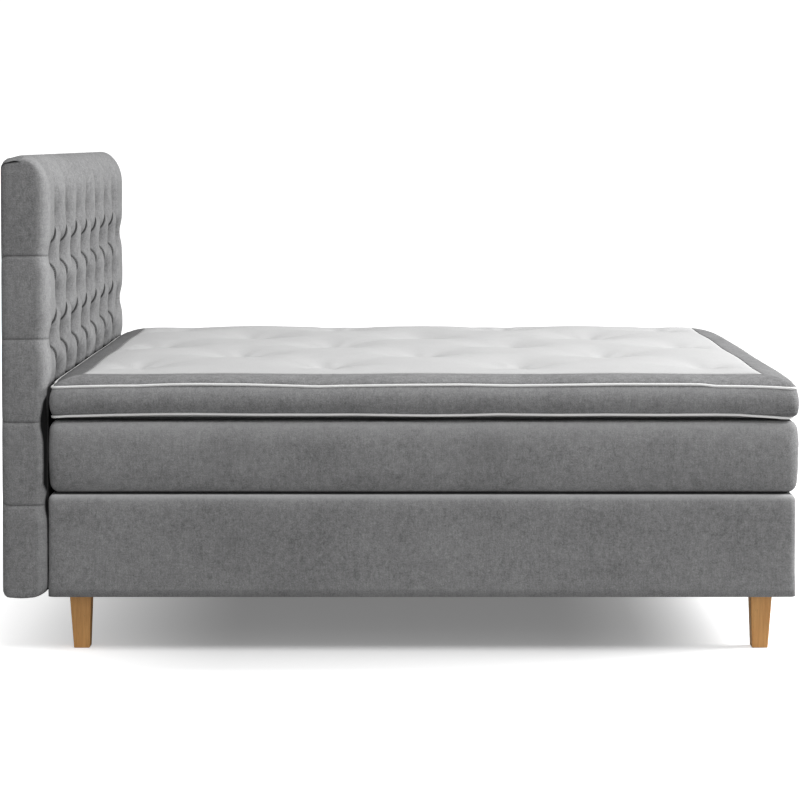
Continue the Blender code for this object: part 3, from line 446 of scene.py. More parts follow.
def tuft_level(y, z):
    """Fullness of the front, 0 at the bottom of a tuft and 1 on a crest, and the painted shade of
    its creases and tufts.

    The cloth is folded into pleats that zigzag upwards through the tufts, with their open side
    away from the near side. The other diagonals of the diamonds are only drawn in a little.
    """
    across = (y + HALF_WIDTH) / TUFT_PITCH_Y
    up = (z - TUFT_HIGH) / TUFT_PITCH_Z + 0.5
    lowest = 0.5 - (TUFT_ROWS - 1) / 2
    held_across = np.clip(across, 0.5, TUFT_COLUMNS - 0.5) - 0.5
    held_up = np.clip(up, lowest, 0.5)
    away = np.full(len(y), np.inf)
    for shift in (0.0, 0.5):
        off_y = (held_across - shift) - np.round(held_across - shift)
        off_z = (held_up - shift) - np.round(held_up - shift)
        spread = np.hypot(off_y * TUFT_PITCH_Y / BOWL_STRETCH, off_z * TUFT_PITCH_Z)
        away = np.minimum(away, spread)
    bowl = 1.0 - np.exp(-(away / BOWL_REACH) ** BOWL_POWER)
    from_row = np.abs(held_up - np.round(held_up))
    past = (held_across - from_row + 0.5) % 1.0 - 0.5
    before = np.clip(1.0 + past / PLEAT_RUN, 0.0, 1.0) ** 2
    after = np.exp(-np.maximum(past, 0.0) / PLEAT_WALL)
    wall = PLEAT_DEPTH * np.where(past < 0.0, before, after)
    drawn = (held_across + from_row + 0.5) % 1.0 - 0.5
    inner = bowl * (1.0 - wall) * (1.0 - DRAWN_DEPTH * np.exp(-np.abs(drawn) / DRAWN_REACH))
    beside = np.abs(across - 0.5 - held_across) * 2
    beyond = np.maximum((z - TUFT_HIGH) / TUFT_TOP_MARGIN, (TUFT_LOW - z) / TUFT_BOTTOM_MARGIN)
    beyond = np.clip(beyond, 0.0, 1.0)
    fade = np.maximum(SIDE_SHARE * smooth_step(beside / SIDE_FADE), CHANNEL_SHARE * beyond)
    level = 1.0 - (1.0 - inner) * (1.0 - fade)
    outside = np.clip(np.maximum(beside, beyond), 0.0, 1.0)
    # Painted shade: dark lines beside the pleats and drawn diagonals, and darker bowls round the
    # tufts
    line = np.exp(-(past / np.where(past < 0.0, PLEAT_LINE / 3, PLEAT_LINE)) ** 2)
    line = np.maximum(line, DRAWN_LINE * np.exp(-(drawn / DRAWN_LINE_REACH) ** 2))
    line = line * smooth_step((away - 0.008) / 0.014)
    painted_shading = np.maximum(line, BOWL_SHADE * np.exp(-(away / BOWL_SHADE_REACH) ** 2))
    painted_shading = painted_shading * (1.0 - smooth_step(outside * 2))
    crest = (np.cos(2 * math.pi * held_across) - np.cos(2 * math.pi * held_up)) / 4 + 0.5
    return level - CREST_DROP * (1.0 - crest), painted_shading, outside


def crowded(count):
    """Half a tuft pitch in count steps that crowd towards both of its ends."""
    steps = np.arange(count) / count
    return steps - CELL_CROWDING * np.sin(2 * math.pi * steps) / (2 * math.pi)


def margin_lines(size, crowding, count):
    """Lines over a margin, from the last tuft out to the edge, closer together at the edge."""
    steps = np.arange(1, count + 1) / count
    return size * (1.0 - (1.0 - steps) ** crowding)


def headboard_lines():
    """The grid lines of the front: each half tuft pitch is cut alike in both directions."""
    half_y = TUFT_PITCH_Y / 2
    half_z = TUFT_PITCH_Z / 2
    unit = crowded(CELLS_PER_HALF_PITCH)
    inner_y = np.concatenate([(index + unit) * half_y for index in range(1, 2 * TUFT_COLUMNS - 1)])
    side = margin_lines(half_y, SIDE_CROWDING, CELLS_PER_HALF_PITCH)
    last = half_y * (2 * TUFT_COLUMNS - 1)
    across = np.concatenate([half_y - side[::-1], inner_y, [last], last + side]) - HALF_WIDTH
    inner_z = np.concatenate([(index + unit) * half_z for index in range(TUFT_ROWS - 1)])
    low = margin_lines(TUFT_BOTTOM_MARGIN, END_CROWDING, BOTTOM_CELLS)
    high = margin_lines(TUFT_TOP_MARGIN, END_CROWDING, TOP_CELLS)
    up = np.concatenate([TUFT_LOW - low[::-1], TUFT_LOW + inner_z, [TUFT_HIGH], TUFT_HIGH + high])
    return across, up


def front_x(y, z):
    """The front's place in x before the wrinkles, and the painted shade in its folds."""
    level, painted_shading, outside = tuft_level(y, z)
    side = rounding(HALF_WIDTH - np.abs(y), *SIDE_ROUND)
    top = rounding(HEADBOARD_HIGH - z, *TOP_ROUND)
    toe = rounding(z - HEADBOARD_LOW, *TOE_ROUND)
    fall = np.sqrt(side**2 + top**2 + toe**2)
    x = CREST_X - fall - TUFT_DEPTH * (1.0 - level)
    freed = smooth_step((z - PRESS_TOP) / PRESS_BLEND)
    return np.minimum(x, PRESS_X + (CREST_X - PRESS_X) * freed), painted_shading, outside


def tuft_wrinkles(y, z):
    """Small wrinkles that run out of each tuft like the spokes of a wheel."""
    total = np.zeros(len(y))
    dice = np.random.RandomState(11)
    for tuft_y, tuft_z in tuft_places():
        phase, spokes = dice.uniform(0, 6.28), dice.randint(7, 11)
        near = (np.abs(y - tuft_y) < SPOKE_WINDOW) & (np.abs(z - tuft_z) < SPOKE_WINDOW)
        away = np.hypot(y[near] - tuft_y, z[near] - tuft_z)
        angle = np.arctan2(z[near] - tuft_z, y[near] - tuft_y)
        strength = np.exp(-away / SPOKE_REACH) * smooth_step(away / SPOKE_START)
        total[near] += strength * np.sin(spokes * angle + phase)
    return total


def shouldered(y, z):
    """The top edge falls a little towards its two ends."""
    share = 1.0 - np.minimum((HALF_WIDTH - np.abs(y)) / SHOULDER_WIDTH, 1.0)
    above = np.clip((z - TUFT_HIGH) / TUFT_TOP_MARGIN, 0.0, 1.0)
    return z - SHOULDER_DROP * share * share * above


def rounded_corner(y, z):
    """Moves what lies in the four corners of the outline onto a small arc."""
    low, high = HEADBOARD_LOW + CORNER_ROUND, HEADBOARD_HIGH - SHOULDER_DROP - CORNER_ROUND
    middle_y = np.clip(y, CORNER_ROUND - HALF_WIDTH, HALF_WIDTH - CORNER_ROUND)
    middle_z = np.clip(z, low, high)
    off_y, off_z = y - middle_y, z - middle_z
    in_corner = (np.abs(off_y) > 0) & (np.abs(off_z) > 0) & (np.abs(y) > HALF_WIDTH - CORNER_ROUND)
    longest = np.maximum(np.abs(off_y), np.abs(off_z))
    shrink = np.where(in_corner, longest / np.maximum(np.hypot(off_y, off_z), 1e-9), 1.0)
    return middle_y + off_y * shrink, middle_z + off_z * shrink


def lips(away, sizes):
    """How far cloth is drawn in beside a pleat: a narrow nick in a wide hollow."""
    nick, (hollow, hollow_reach) = sizes
    return faded(nick, away) + hollow * np.exp(-((away / hollow_reach) ** 2))


def pleat_pull(z):
    """How strongly a pleat that runs round the side pulls at this height, and its painted shade
    line with a painted highlight on the lip under it.
    """
    up = (z - TUFT_HIGH) / TUFT_PITCH_Z + 0.5
    off = (up - np.round(up)) * TUFT_PITCH_Z
    away = np.abs(off)
    beside = (z > TUFT_LOW) & (z < TUFT_HIGH)
    light = LIP_HIGHLIGHT * np.exp(-((off + LIGHT_LIP_BELOW) / LIGHT_LIP_REACH) ** 2)
    return lips(away, PLEAT_LIPS) * beside, (np.exp(-away / PULL_LINE) - light) * beside


def channel_pull(y):
    """The same for the channels that run over the top and under the toe."""
    across = (y + HALF_WIDTH) / TUFT_PITCH_Y
    away = np.abs(across - np.round(across)) * TUFT_PITCH_Y
    beside = (across > 0.5) & (across < TUFT_COLUMNS - 0.5)
    return lips(away, CHANNEL_LIPS) * beside, np.exp(-away / PULL_LINE) * beside


def painted_crevice_shade(y, z):
    """Painted shade in the hollow where the rounded near and far sides leave the mattress and
    base.
    """
    fall = rounding(HALF_WIDTH - np.abs(y), *SIDE_ROUND)
    wide = CREVICE_LOW + (CREVICE_TOP - CREVICE_LOW) * smooth_step((z - BASE_Z[1]) / 0.03)
    wide = wide * smooth_step((PRESS_TOP + 0.025 - z) / 0.06)
    return smooth_step((wide - fall) / CREVICE_EDGE)


def headboard_painted_shading(y, z, painted_shading, pleat_line, channel_line):
    """Painted shading: above 0 painted shade in folds, seams and crevices, below 0 a painted
    highlight, most on the rolled sides.
    """
    at_sides = smooth_step((np.abs(y) - HALF_WIDTH + TUFT_PITCH_Y / 2) / 0.03)
    at_ends = smooth_step(np.maximum(z - TUFT_HIGH, TUFT_LOW - z) / 0.03)
    line = np.maximum(pleat_line * at_sides, channel_line * at_ends * CHANNEL_LINE)
    marks = np.maximum(np.maximum(painted_shading, line * RIM_LINE), painted_crevice_shade(y, z))
    roll = np.exp(-((HALF_WIDTH - np.abs(y) - ROLL_REACH) / ROLL_REACH) ** 2)
    return marks - (1.0 - marks) * (FRONT_HIGHLIGHT + ROLL_HIGHLIGHT * roll)


def build_headboard_cover():
    """The deep-tufted front as one grid, whose rim is then carried round to the back."""
    across, up = headboard_lines()
    columns, rows = len(across) - 1, len(up) - 1
    bpy.ops.mesh.primitive_grid_add(x_subdivisions=columns, y_subdivisions=rows, size=2)
    cover = fresh("headboard_upholstery")
    spots = corners(cover)
    column = np.round((spots[:, 0] + 1) / 2 * columns).astype(int)
    row = np.round((spots[:, 1] + 1) / 2 * rows).astype(int)
    y, z = across[column], up[row]
    x, painted_shading, outside = front_x(y, z)
    flat = np.stack([np.zeros(len(y)), y, z], axis=1)
    free = 1.0 - np.clip(outside * 1.4 - 0.4, 0.0, 1.0)
    x -= free * SPOKE_DEPTH * (1.0 + tuft_wrinkles(y, z))
    depth, size, seed = FRONT_UNEVEN
    x -= free * (1.0 - painted_shading) * depth * (1.0 + ripple(flat, size, seed))
    drift, size = FRONT_DRIFT
    moved_y = y + free * drift * ripple(flat, size, 5)
    moved_z = z + free * drift * ripple(flat, size, 6)
    moved_y, moved_z = rounded_corner(moved_y, shouldered(moved_y, moved_z))
    side_share = smooth_step((np.abs(y) - (HALF_WIDTH - 0.06)) / 0.06)
    end_share = smooth_step((z - (HEADBOARD_HIGH - 0.08)) / 0.08)
    end_share += smooth_step((HEADBOARD_LOW + 0.06 - z) / 0.06)
    pleat, pleat_line = pleat_pull(z)
    channel, channel_line = channel_pull(y)
    moved_y -= np.sign(y) * side_share * pleat
    moved_z -= np.sign(z - HEADBOARD_MIDDLE) * end_share * channel
    put(cover, np.stack([x, moved_y, moved_z], axis=1))
    note(cover, "painted_shading", headboard_painted_shading(y, z, painted_shading, pleat_line, channel_line))
    kept = {"edge_x": x, "edge_y": moved_y, "edge_z": moved_z, "flat_y": y, "flat_z": z}
    for name, values in kept.items():
        note(cover, name, values)

    start_edit(cover, "EDGE")
    bpy.ops.mesh.select_all(action="DESELECT")
    bpy.ops.mesh.select_non_manifold()
    end_edit()

    def sideways(share):
        """A ring round the sides, share of the way from the front edge to the back edge."""
        def place(spots, new):
            edge_x, y, z, flat_y, flat_z = (noted(cover, name)[new] for name in kept)
            on_side = np.abs(flat_y) > HALF_WIDTH - 1e-4
            full = math.sin(math.pi * min(share * 1.1, 1.0)) * SIDE_FULLNESS
            out_z = np.where(on_side, 0.0, full)
            top = np.clip((z - TUFT_HIGH) / TUFT_TOP_MARGIN, 0.0, 1.0)
            end_x = BACK_X + BACK_RADIUS
            channel_line = channel_pull(flat_y)[1] * (1.0 - share)
            line = np.where(on_side, pleat_pull(flat_z)[1], channel_line)
            below = np.abs(z - (HEADBOARD_HIGH - SEAM_BELOW))
            started = smooth_step((share - SEAM_START) / SEAM_RUN)
            seam = np.exp(-(below / SEAM_WIDTH) ** 2) * on_side * started
            out_y = np.where(on_side, full, 0.0) - SEAM_DEPTH * seam
            # Painted shade on the pleat and channel lines round the side and in the top seam
            marks = noted(cover, "painted_shading")
            marks[new] = line * RIM_LINE * (1.0 - seam) + seam
            note(cover, "painted_shading", marks)
            return np.stack([
                edge_x + (end_x - edge_x) * share,
                y + np.sign(y) * out_y,
                z - TOP_SLOPE * top * share + np.sign(z - HEADBOARD_MIDDLE) * out_z,
            ], axis=1)
        return place

    def round_the_back(inset, depth):
        """A ring of the rounded back edge, drawn in towards the middle of the back."""
        middle = (HEADBOARD_HIGH + HEADBOARD_LOW) / 2

        def place(spots, new):
            y, z = noted(cover, "edge_y")[new], noted(cover, "edge_z")[new]
            top = np.clip((z - TUFT_HIGH) / TUFT_TOP_MARGIN, 0.0, 1.0)
            z = z - TOP_SLOPE * top
            y = y * (1.0 - inset / HALF_WIDTH)
            z = middle + (z - middle) * (1.0 - inset / (HEADBOARD_HIGH - middle))
            return np.stack([np.full(len(y), BACK_X + depth), y, z], axis=1)
        return place

    for share in SIDE_RINGS:
        extrude_rim(cover, sideways(share))
    for step in range(1, BACK_STEPS + 1):
        angle = math.pi / 2 * step / BACK_STEPS
        inset = BACK_RADIUS * (1.0 - math.cos(angle))
        extrude_rim(cover, round_the_back(inset, BACK_RADIUS * (1.0 - math.sin(angle))))
    extrude_rim(cover, round_the_back(WINDOW_INSET, 0.0))
    extrude_rim(cover, round_the_back(WINDOW_INSET, LINING_DEPTH))
    start_edit(cover, "EDGE")
    bpy.ops.mesh.edge_face_add()
    end_edit()
    face_outwards(cover)
    smooth(cover)
    return cover


def build_buttons():
    """Small covered buttons at the bottoms of the tufts."""
    first = None
    for number, (y, z) in enumerate(tuft_places()):
        x = float(front_x(np.array([y]), np.array([z]))[0][0])
        if number == 0:
            bpy.ops.mesh.primitive_uv_sphere_add(segments=16, ring_count=10, radius=BUTTON_RADIUS)
            first = fresh("headboard_buttons")
            first.rotation_euler = (0, math.pi / 2, 0)
            first.scale = (1, 1, BUTTON_HEIGHT / (2 * BUTTON_RADIUS))
            settle(first)
            pattern = first.data.copy()
            first.location = (x + BUTTON_HEIGHT / 2, y, z)
            copies = [first]
        else:
            copy = bpy.data.objects.new("button", pattern.copy())
            copy.location = (x + BUTTON_HEIGHT / 2, y, z)
            bpy.context.collection.objects.link(copy)
            copies.append(copy)
    bpy.ops.object.select_all(action="DESELECT")
    for copy in copies:
        copy.select_set(True)
    bpy.context.view_layer.objects.active = first
    bpy.ops.object.join()
    settle(first)
    smooth(first)
    return first


# Base and mattress covers

def soft_box(name, low, high, radius, spacing, open_bottom=False):
    """A box with rounded edges whose faces are cut into a grid, ready to be softened."""
    middle = [(a + b) / 2 for a, b in zip(low, high)]
    bpy.ops.mesh.primitive_cube_add(size=1, location=middle)
    box = fresh(name)
    box.scale = [b - a for a, b in zip(low, high)]
    settle(box)
    start_edit(box, "FACE")
    bpy.ops.mesh.select_all(action="DESELECT")
    end_edit()
    if open_bottom:
        for face in box.data.polygons:
            face.select = face.normal.z < -0.9
        start_edit(box, "FACE")
        bpy.ops.mesh.delete(type="FACE")
        end_edit()
        for edge in box.data.edges:
            ends = [box.data.vertices[index].co.z for index in edge.vertices]
            edge.select = max(ends) > low[2] + 0.01
        start_edit(box, "EDGE")
    else:
        start_edit(box, "EDGE")
        bpy.ops.mesh.select_all(action="SELECT")
    bpy.ops.mesh.bevel(offset=radius, segments=ROUND_SEGMENTS, affect="EDGES")
    end_edit()
    for axis in range(3):
        start, stop = low[axis] + radius, high[axis] - radius
        if axis == 2 and open_bottom:
            start = low[axis]
        count = max(2, int(round((stop - start) / spacing)))
        cuts = [start + (stop - start) * step / count for step in range(1, count)]
        slice_across(box, axis, cuts)
    return box


def push_sides(spots, low, high, rim, outward):
    """Moves the upright sides of a box of cloth outwards, and less and less over its rim."""
    for axis in (0, 1):
        middle = (low[axis] + high[axis]) / 2
        reach = (high[axis] - low[axis]) / 2
        off = (spots[:, axis] - middle) / reach
        at_side = smooth_step((np.abs(off) * reach - (reach - rim)) / rim)
        spots[:, axis] += np.sign(off) * at_side * outward


def inside_sides(spots, low, high):
    """How far each corner of a cover lies inside the nearest of its upright sides."""
    inner = np.minimum(spots[:, 0] - low[0], high[0] - spots[:, 0])
    return np.minimum(inner, high[1] - np.abs(spots[:, 1]))


def build_mattress_cover():
    """The soft-edged cover of the mattress, with painted shade in the gaps above and below it and
    a painted highlight along its upper edge.
    """
    low = (MATTRESS_X[0] + MATTRESS_SWELL, -MATTRESS_Y + MATTRESS_SWELL, MATTRESS_Z[0])
    high = (MATTRESS_X[1] - MATTRESS_SWELL, MATTRESS_Y - MATTRESS_SWELL, MATTRESS_Z[1])
    cover = soft_box("mattress_cover", low, high, MATTRESS_ROUND, MATTRESS_CELL)
    spots = corners(cover)
    share = (spots[:, 2] - low[2]) / (high[2] - low[2])
    swell = MATTRESS_SWELL * np.sin(math.pi * np.clip(share, 0, 1)) ** 0.7
    outward = swell + unevenness(spots, MATTRESS_UNEVEN, 1.0)
    push_sides(spots, low, high, MATTRESS_RIM, outward)
    inner = inside_sides(spots, low, high)
    rim = np.exp(-((inner - 0.03) / 0.05) ** 2)
    depth, size, seed = MATTRESS_SUNK
    sunk = depth * rim * (1 + ripple(spots, size, seed))
    spots[:, 2] -= np.where(share > 0.5, sunk, 0.0)
    put(cover, spots)
    within = inner > MATTRESS_ROUND * 0.7
    above, below = spots[:, 2] - low[2], high[2] - spots[:, 2]
    # Painted shade in the gaps to the topper and base, and a painted highlight below the top edge,
    # only on the rim
    near_rim = smooth_step((MATTRESS_ROUND + 0.004 - inner) / 0.008)
    low_gap, high_gap = MATTRESS_GAPS
    gap = 1.0 - smooth_step((np.minimum(above - low_gap, below - high_gap) - 0.0012) / 0.003)
    note(cover, "painted_shading", near_rim * (gap - (1.0 - gap) * faded(MATTRESS_EDGE_HIGHLIGHT, below)))
    at_headboard = spots[:, 0] < MATTRESS_X[0] + MATTRESS_ROUND
    swell_cloth(cover, within | at_headboard)
    smooth(cover)
    return cover


def build_base_cover():
    """The cloth drawn tight over the base, with a fine hem, painted shade in the gap under the
    mattress and painted highlights along its upper edge and near its bottom.
    """
    low = (BASE_X[0], -HALF_WIDTH, BASE_Z[0])
    high = (BASE_X[1], HALF_WIDTH, BASE_Z[1])
    cover = soft_box("base_upholstery", low, high, BASE_ROUND, BASE_CELL, open_bottom=True)
    spots = corners(cover)
    above, below = spots[:, 2] - low[2], high[2] - spots[:, 2]
    share = above / (high[2] - low[2])
    pull = unevenness(spots, BASE_UNEVEN, 1.0) * np.clip(share * 4, 0, 1)
    push_sides(spots, low, high, BASE_RIM, pull - faded(BASE_HEM, above))
    put(cover, spots)
    # Painted shade in the gap under the mattress, painted highlights along the upper edge and near
    # the bottom, only on the rim
    near_rim = smooth_step((BASE_ROUND + 0.004 - inside_sides(spots, low, high)) / 0.008)
    gap = 1.0 - smooth_step((below - 0.0006) / 0.0022)
    light = faded(BASE_EDGE_HIGHLIGHT, below) + faded(HEM_HIGHLIGHT, above)
    note(cover, "painted_shading", near_rim * (gap - (1.0 - gap) * light))
    smooth(cover)
    modify(cover, "SOLIDIFY", thickness=0.003, offset=-1.0)
    return cover


# Topper

SIDE_STEPS = (130, 116)
ARC_STEPS = 9

# How far each piping rises over its level on the near side: the place along x, and millimetres

NEAR_HIGH_WAVE = (
    (-0.94, -5.2), (-0.9276, -4.3), (-0.863, -2.2), (-0.831, -1.5), (-0.767, -0.2), (-0.702, 0.0),
    (-0.670, 1.6), (-0.606, 3.8), (-0.542, 4.3), (-0.413, 3.3), (-0.316, 0.7), (-0.220, -2.1),
    (-0.155, -0.5), (0.005, 1.9), (0.166, 3.1), (0.295, 0.5), (0.456, 2.4), (0.584, 4.2),
    (0.777, 4.0), (0.810, 3.3), (0.842, -0.8), (0.938, -1.8), (1.003, -4.1), (1.035, -6.2),
    (1.07, -7.0),
)
NEAR_LOW_WAVE = (
    (-0.94, -6.4), (-0.9276, -5.6), (-0.895, -3.2), (-0.831, -1.5), (-0.767, 0.3), (-0.638, 2.5),
    (-0.542, 2.6), (-0.381, 1.2), (-0.188, 1.2), (-0.123, 1.8), (0.005, -0.3), (0.086, -1.1),
    (0.166, -0.3), (0.263, 2.3), (0.424, 0.3), (0.552, 1.4), (0.713, 0.4), (0.842, 1.4),
    (0.906, 0.6), (0.938, -1.7), (0.971, -3.8), (1.035, -8.1), (1.07, -8.6),
)

TOPPER_MIDDLE = (TOPPER_X[0] + TOPPER_X[1]) / 2
TOPPER_HALF = ((TOPPER_X[1] - TOPPER_X[0]) / 2, HALF_WIDTH)


def on_arc(centre, radius, angle):
    """A point on a circle."""
    return centre[0] + radius * math.cos(angle), centre[1] + radius * math.sin(angle)


def outline(inset, radius):
    """A rounded rectangle round the topper, always with the same number of points."""
    half = (TOPPER_HALF[0] - inset, TOPPER_HALF[1] - inset)
    points = []
    turns = ((1, 1), (-1, 1), (-1, -1), (1, -1))
    for quarter, (side_x, side_y) in enumerate(turns):
        centre = (side_x * (half[0] - radius), side_y * (half[1] - radius))
        for step in range(ARC_STEPS):
            angle = math.pi / 2 * (quarter + step / (ARC_STEPS - 1))
            points.append(on_arc(centre, radius, angle))
        after = turns[(quarter + 1) % 4]
        centre = (after[0] * (half[0] - radius), after[1] * (half[1] - radius))
        start = points[-1]
        stop = on_arc(centre, radius, math.pi / 2 * (quarter + 1))
        count = SIDE_STEPS[quarter % 2]
        for step in range(1, count):
            share = step / count
            points.append((
                start[0] + (stop[0] - start[0]) * share,
                start[1] + (stop[1] - start[1]) * share,
            ))
    points = np.array(points)
    points[:, 0] += TOPPER_MIDDLE
    return points


def wave(points, table, seed):
    """How far the piping is off its level: as seen on the near side, and alike on the others."""
    xs, heights = zip(*table)
    near = np.interp(points[:, 0], xs, heights)
    far = np.interp(TOPPER_MIDDLE * 2 - points[:, 0], xs, heights)
    spots = np.column_stack([points, np.zeros(len(points))])
    along = points[:, 1] / HALF_WIDTH
    corner = np.interp(points[:, 0], (TOPPER_X[0], TOPPER_X[1]), (heights[0], heights[-1]))
    corner_far = np.interp(points[:, 0], (TOPPER_X[0], TOPPER_X[1]), (heights[-1], heights[0]))
    corners_held = corner * (1 - along) / 2 + corner_far * (1 + along) / 2
    height, size = WAVE_UNEVEN
    middle = height * ripple(spots, size, seed) + 1.2
    held = np.abs(along) ** 8
    across = corners_held * held + middle * (1 - held)
    is_near = points[:, 1] < -HALF_WIDTH + 0.10
    is_far = points[:, 1] > HALF_WIDTH - 0.10
    lengthwise = np.where(is_near, near, far)
    return np.where(is_near | is_far, lengthwise, across) / 1000.0


def loft(name, rings):
    """A skin through rings of points: a circle whose edge is extruded from ring to ring."""
    count = len(rings[0])
    bpy.ops.mesh.primitive_circle_add(vertices=count, radius=1)
    skin = fresh(name)
    spots = corners(skin)
    turn = np.arctan2(spots[:, 1], spots[:, 0]) / (2 * math.pi)
    number = np.round(turn * count).astype(int) % count
    note(skin, "number", number)
    put(skin, rings[0][number])
    start_edit(skin, "EDGE")
    bpy.ops.mesh.select_all(action="SELECT")
    end_edit()
    for ring in rings[1:]:
        extrude_rim(skin, lambda spots, new: ring[noted(skin, "number")[new].astype(int)])
    return skin


def ring_at(inset, radius, z):
    """A rounded rectangle of points at a level, or at a level for each point."""
    points = outline(inset, max(radius, 0.002))
    return np.column_stack([points, np.broadcast_to(z, len(points))])


def inside_topper(spots):
    """How far each corner lies inside the nearest side of the topper."""
    lengthwise = TOPPER_HALF[0] - np.abs(spots[:, 0] - TOPPER_MIDDLE)
    return np.minimum(lengthwise, TOPPER_HALF[1] - np.abs(spots[:, 1]))


def high_wave():
    """The rise of the upper piping round the topper."""
    return wave(outline(0, TOPPER_CORNER), NEAR_HIGH_WAVE, 41)


def low_wave():
    """The rise of the lower piping round the topper."""
    return wave(outline(0, TOPPER_CORNER), NEAR_LOW_WAVE, 42)


def build_piping(name, lower, z, lift):
    """White piping along a seam; lower is 1 where it is the drawn-in lower one, otherwise 0."""
    reach = PIPE_RADIUS - 0.0018
    points = outline(reach, TOPPER_CORNER - reach)
    curve = bpy.data.curves.new(name, "CURVE")
    curve.dimensions = "3D"
    curve.bevel_depth = PIPE_RADIUS
    curve.bevel_resolution = 3
    spline = curve.splines.new("POLY")
    spline.points.add(len(points) - 1)
    points[:, 0] += foot_draw(points, lower)
    points[:, 1] -= points[:, 1] / HALF_WIDTH * LOW_SIDE_DRAW_IN * lower
    for point, place, rise in zip(spline.points, points, lift):
        point.co = (place[0], place[1], z + rise, 1)
    spline.use_cyclic_u = True
    pipe = bpy.data.objects.new(name, curve)
    bpy.context.collection.objects.link(pipe)
    pick(pipe)
    bpy.ops.object.convert(target="MESH")
    pipe = fresh(name)
    smooth(pipe)
    return pipe


def foot_draw(points, draw):
    """The lower seam is drawn in at the foot end, where nothing stands against it."""
    return -LOW_DRAW_IN * draw * smooth_step((points[:, 0] - TOPPER_X[1] + 0.06) / 0.03)


def head_push(points, share):
    """The middle of the head end is pressed out a little against the headboard."""
    at_head = smooth_step((TOPPER_X[0] + 0.06 - points[:, 0]) / 0.03)
    return -HEAD_PRESS * at_head * math.sin(math.pi * share)


def build_topper_band():
    """The side of the topper: pinched in at both seams, and drawn in at the lower one."""
    low, high = LOW_PIPE + low_wave(), HIGH_PIPE + high_wave()
    shares = np.array(BAND_RINGS)
    foot_draws = np.interp(shares, *FOOT_DRAWN)
    bellies = SIDE_BELLY * (1.0 - (2.0 * shares - 1.0) ** 2)
    side_draws = np.interp(shares, *LOW_DRAWN) * LOW_SIDE_DRAW_IN - bellies
    rings = []
    for share, draw, side_draw in zip(BAND_RINGS, foot_draws, side_draws):
        pinch = faded(BAND_PINCH, share) + faded(BAND_PINCH, 1.0 - share)
        belly = BAND_HOLLOW * (2.0 * share - 1.0) ** 2 - BAND_PROUD
        inset = belly + pinch
        ring = ring_at(inset, TOPPER_CORNER - inset, 0)
        ring[:, 0] += foot_draw(ring, draw) + head_push(ring, share)
        ring[:, 1] -= ring[:, 1] / HALF_WIDTH * side_draw
        ring[:, 2] = low + (high - low) * share
        rings.append(ring)
    band = loft("topper_side_band", rings)
    spots = corners(band)
    level = (spots[:, 2] - LOW_PIPE) / (HIGH_PIPE - LOW_PIPE)
    free = np.clip(1.0 - np.abs(level * 2 - 1) ** 3, 0.0, 1.0)
    push = free * unevenness(spots, BAND_UNEVEN)
    off = spots[:, :2] - np.array([TOPPER_MIDDLE, 0.0])
    ends = TOPPER_HALF[0] - np.abs(off[:, 0]) < TOPPER_HALF[1] - np.abs(off[:, 1])
    spots[:, 0] += np.where(ends, np.sign(off[:, 0]) * push, 0.0)
    spots[:, 1] += np.where(ends, 0.0, np.sign(off[:, 1]) * push)
    put(band, spots)
    # Painted shade at both pinched seams and a painted highlight towards the upper piping
    seams = faded(BAND_SEAMS, np.minimum(np.abs(level), np.abs(1 - level)))
    note(band, "painted_shading", seams - faded(BAND_HIGHLIGHT, 1.0 - level) * (1.0 - seams))
    smooth(band)
    modify(band, "SOLIDIFY", thickness=0.002, offset=-1.0)
    return band


def head_gain(x):
    """How far a point is moved to the head, because the border is narrower there."""
    share = (TOPPER_X[1] - BORDER_WIDTH - x) / (2 * (TOPPER_HALF[0] - BORDER_WIDTH))
    return -HEAD_BORDER_GAIN * share


def seam_wave(points):
    """The white panel's seam sinks where a tuft is near and rises between them."""
    dip = np.zeros(len(points))
    for tuft_x, tuft_y in panel_tufts():
        away = np.hypot(points[:, 0] - TOPPER_MIDDLE - tuft_x, points[:, 1] - tuft_y)
        dip = np.maximum(dip, np.exp(-(away / SEAM_DIP_REACH) ** 2))
    return SEAM_LIFT - SEAM_DIP * dip


def panel_tufts():
    """The white panel's tufts: rows of four and three by turns."""
    tufts = []
    for row in range(PANEL_TUFT_ROWS):
        count = PANEL_TUFT_COLUMNS - row % 2
        y = (row - (PANEL_TUFT_ROWS - 1) // 2) * PANEL_PITCH_Y
        for column in range(count):
            tufts.append(((column - (count - 1) / 2) * PANEL_PITCH_X, y))
    return tufts


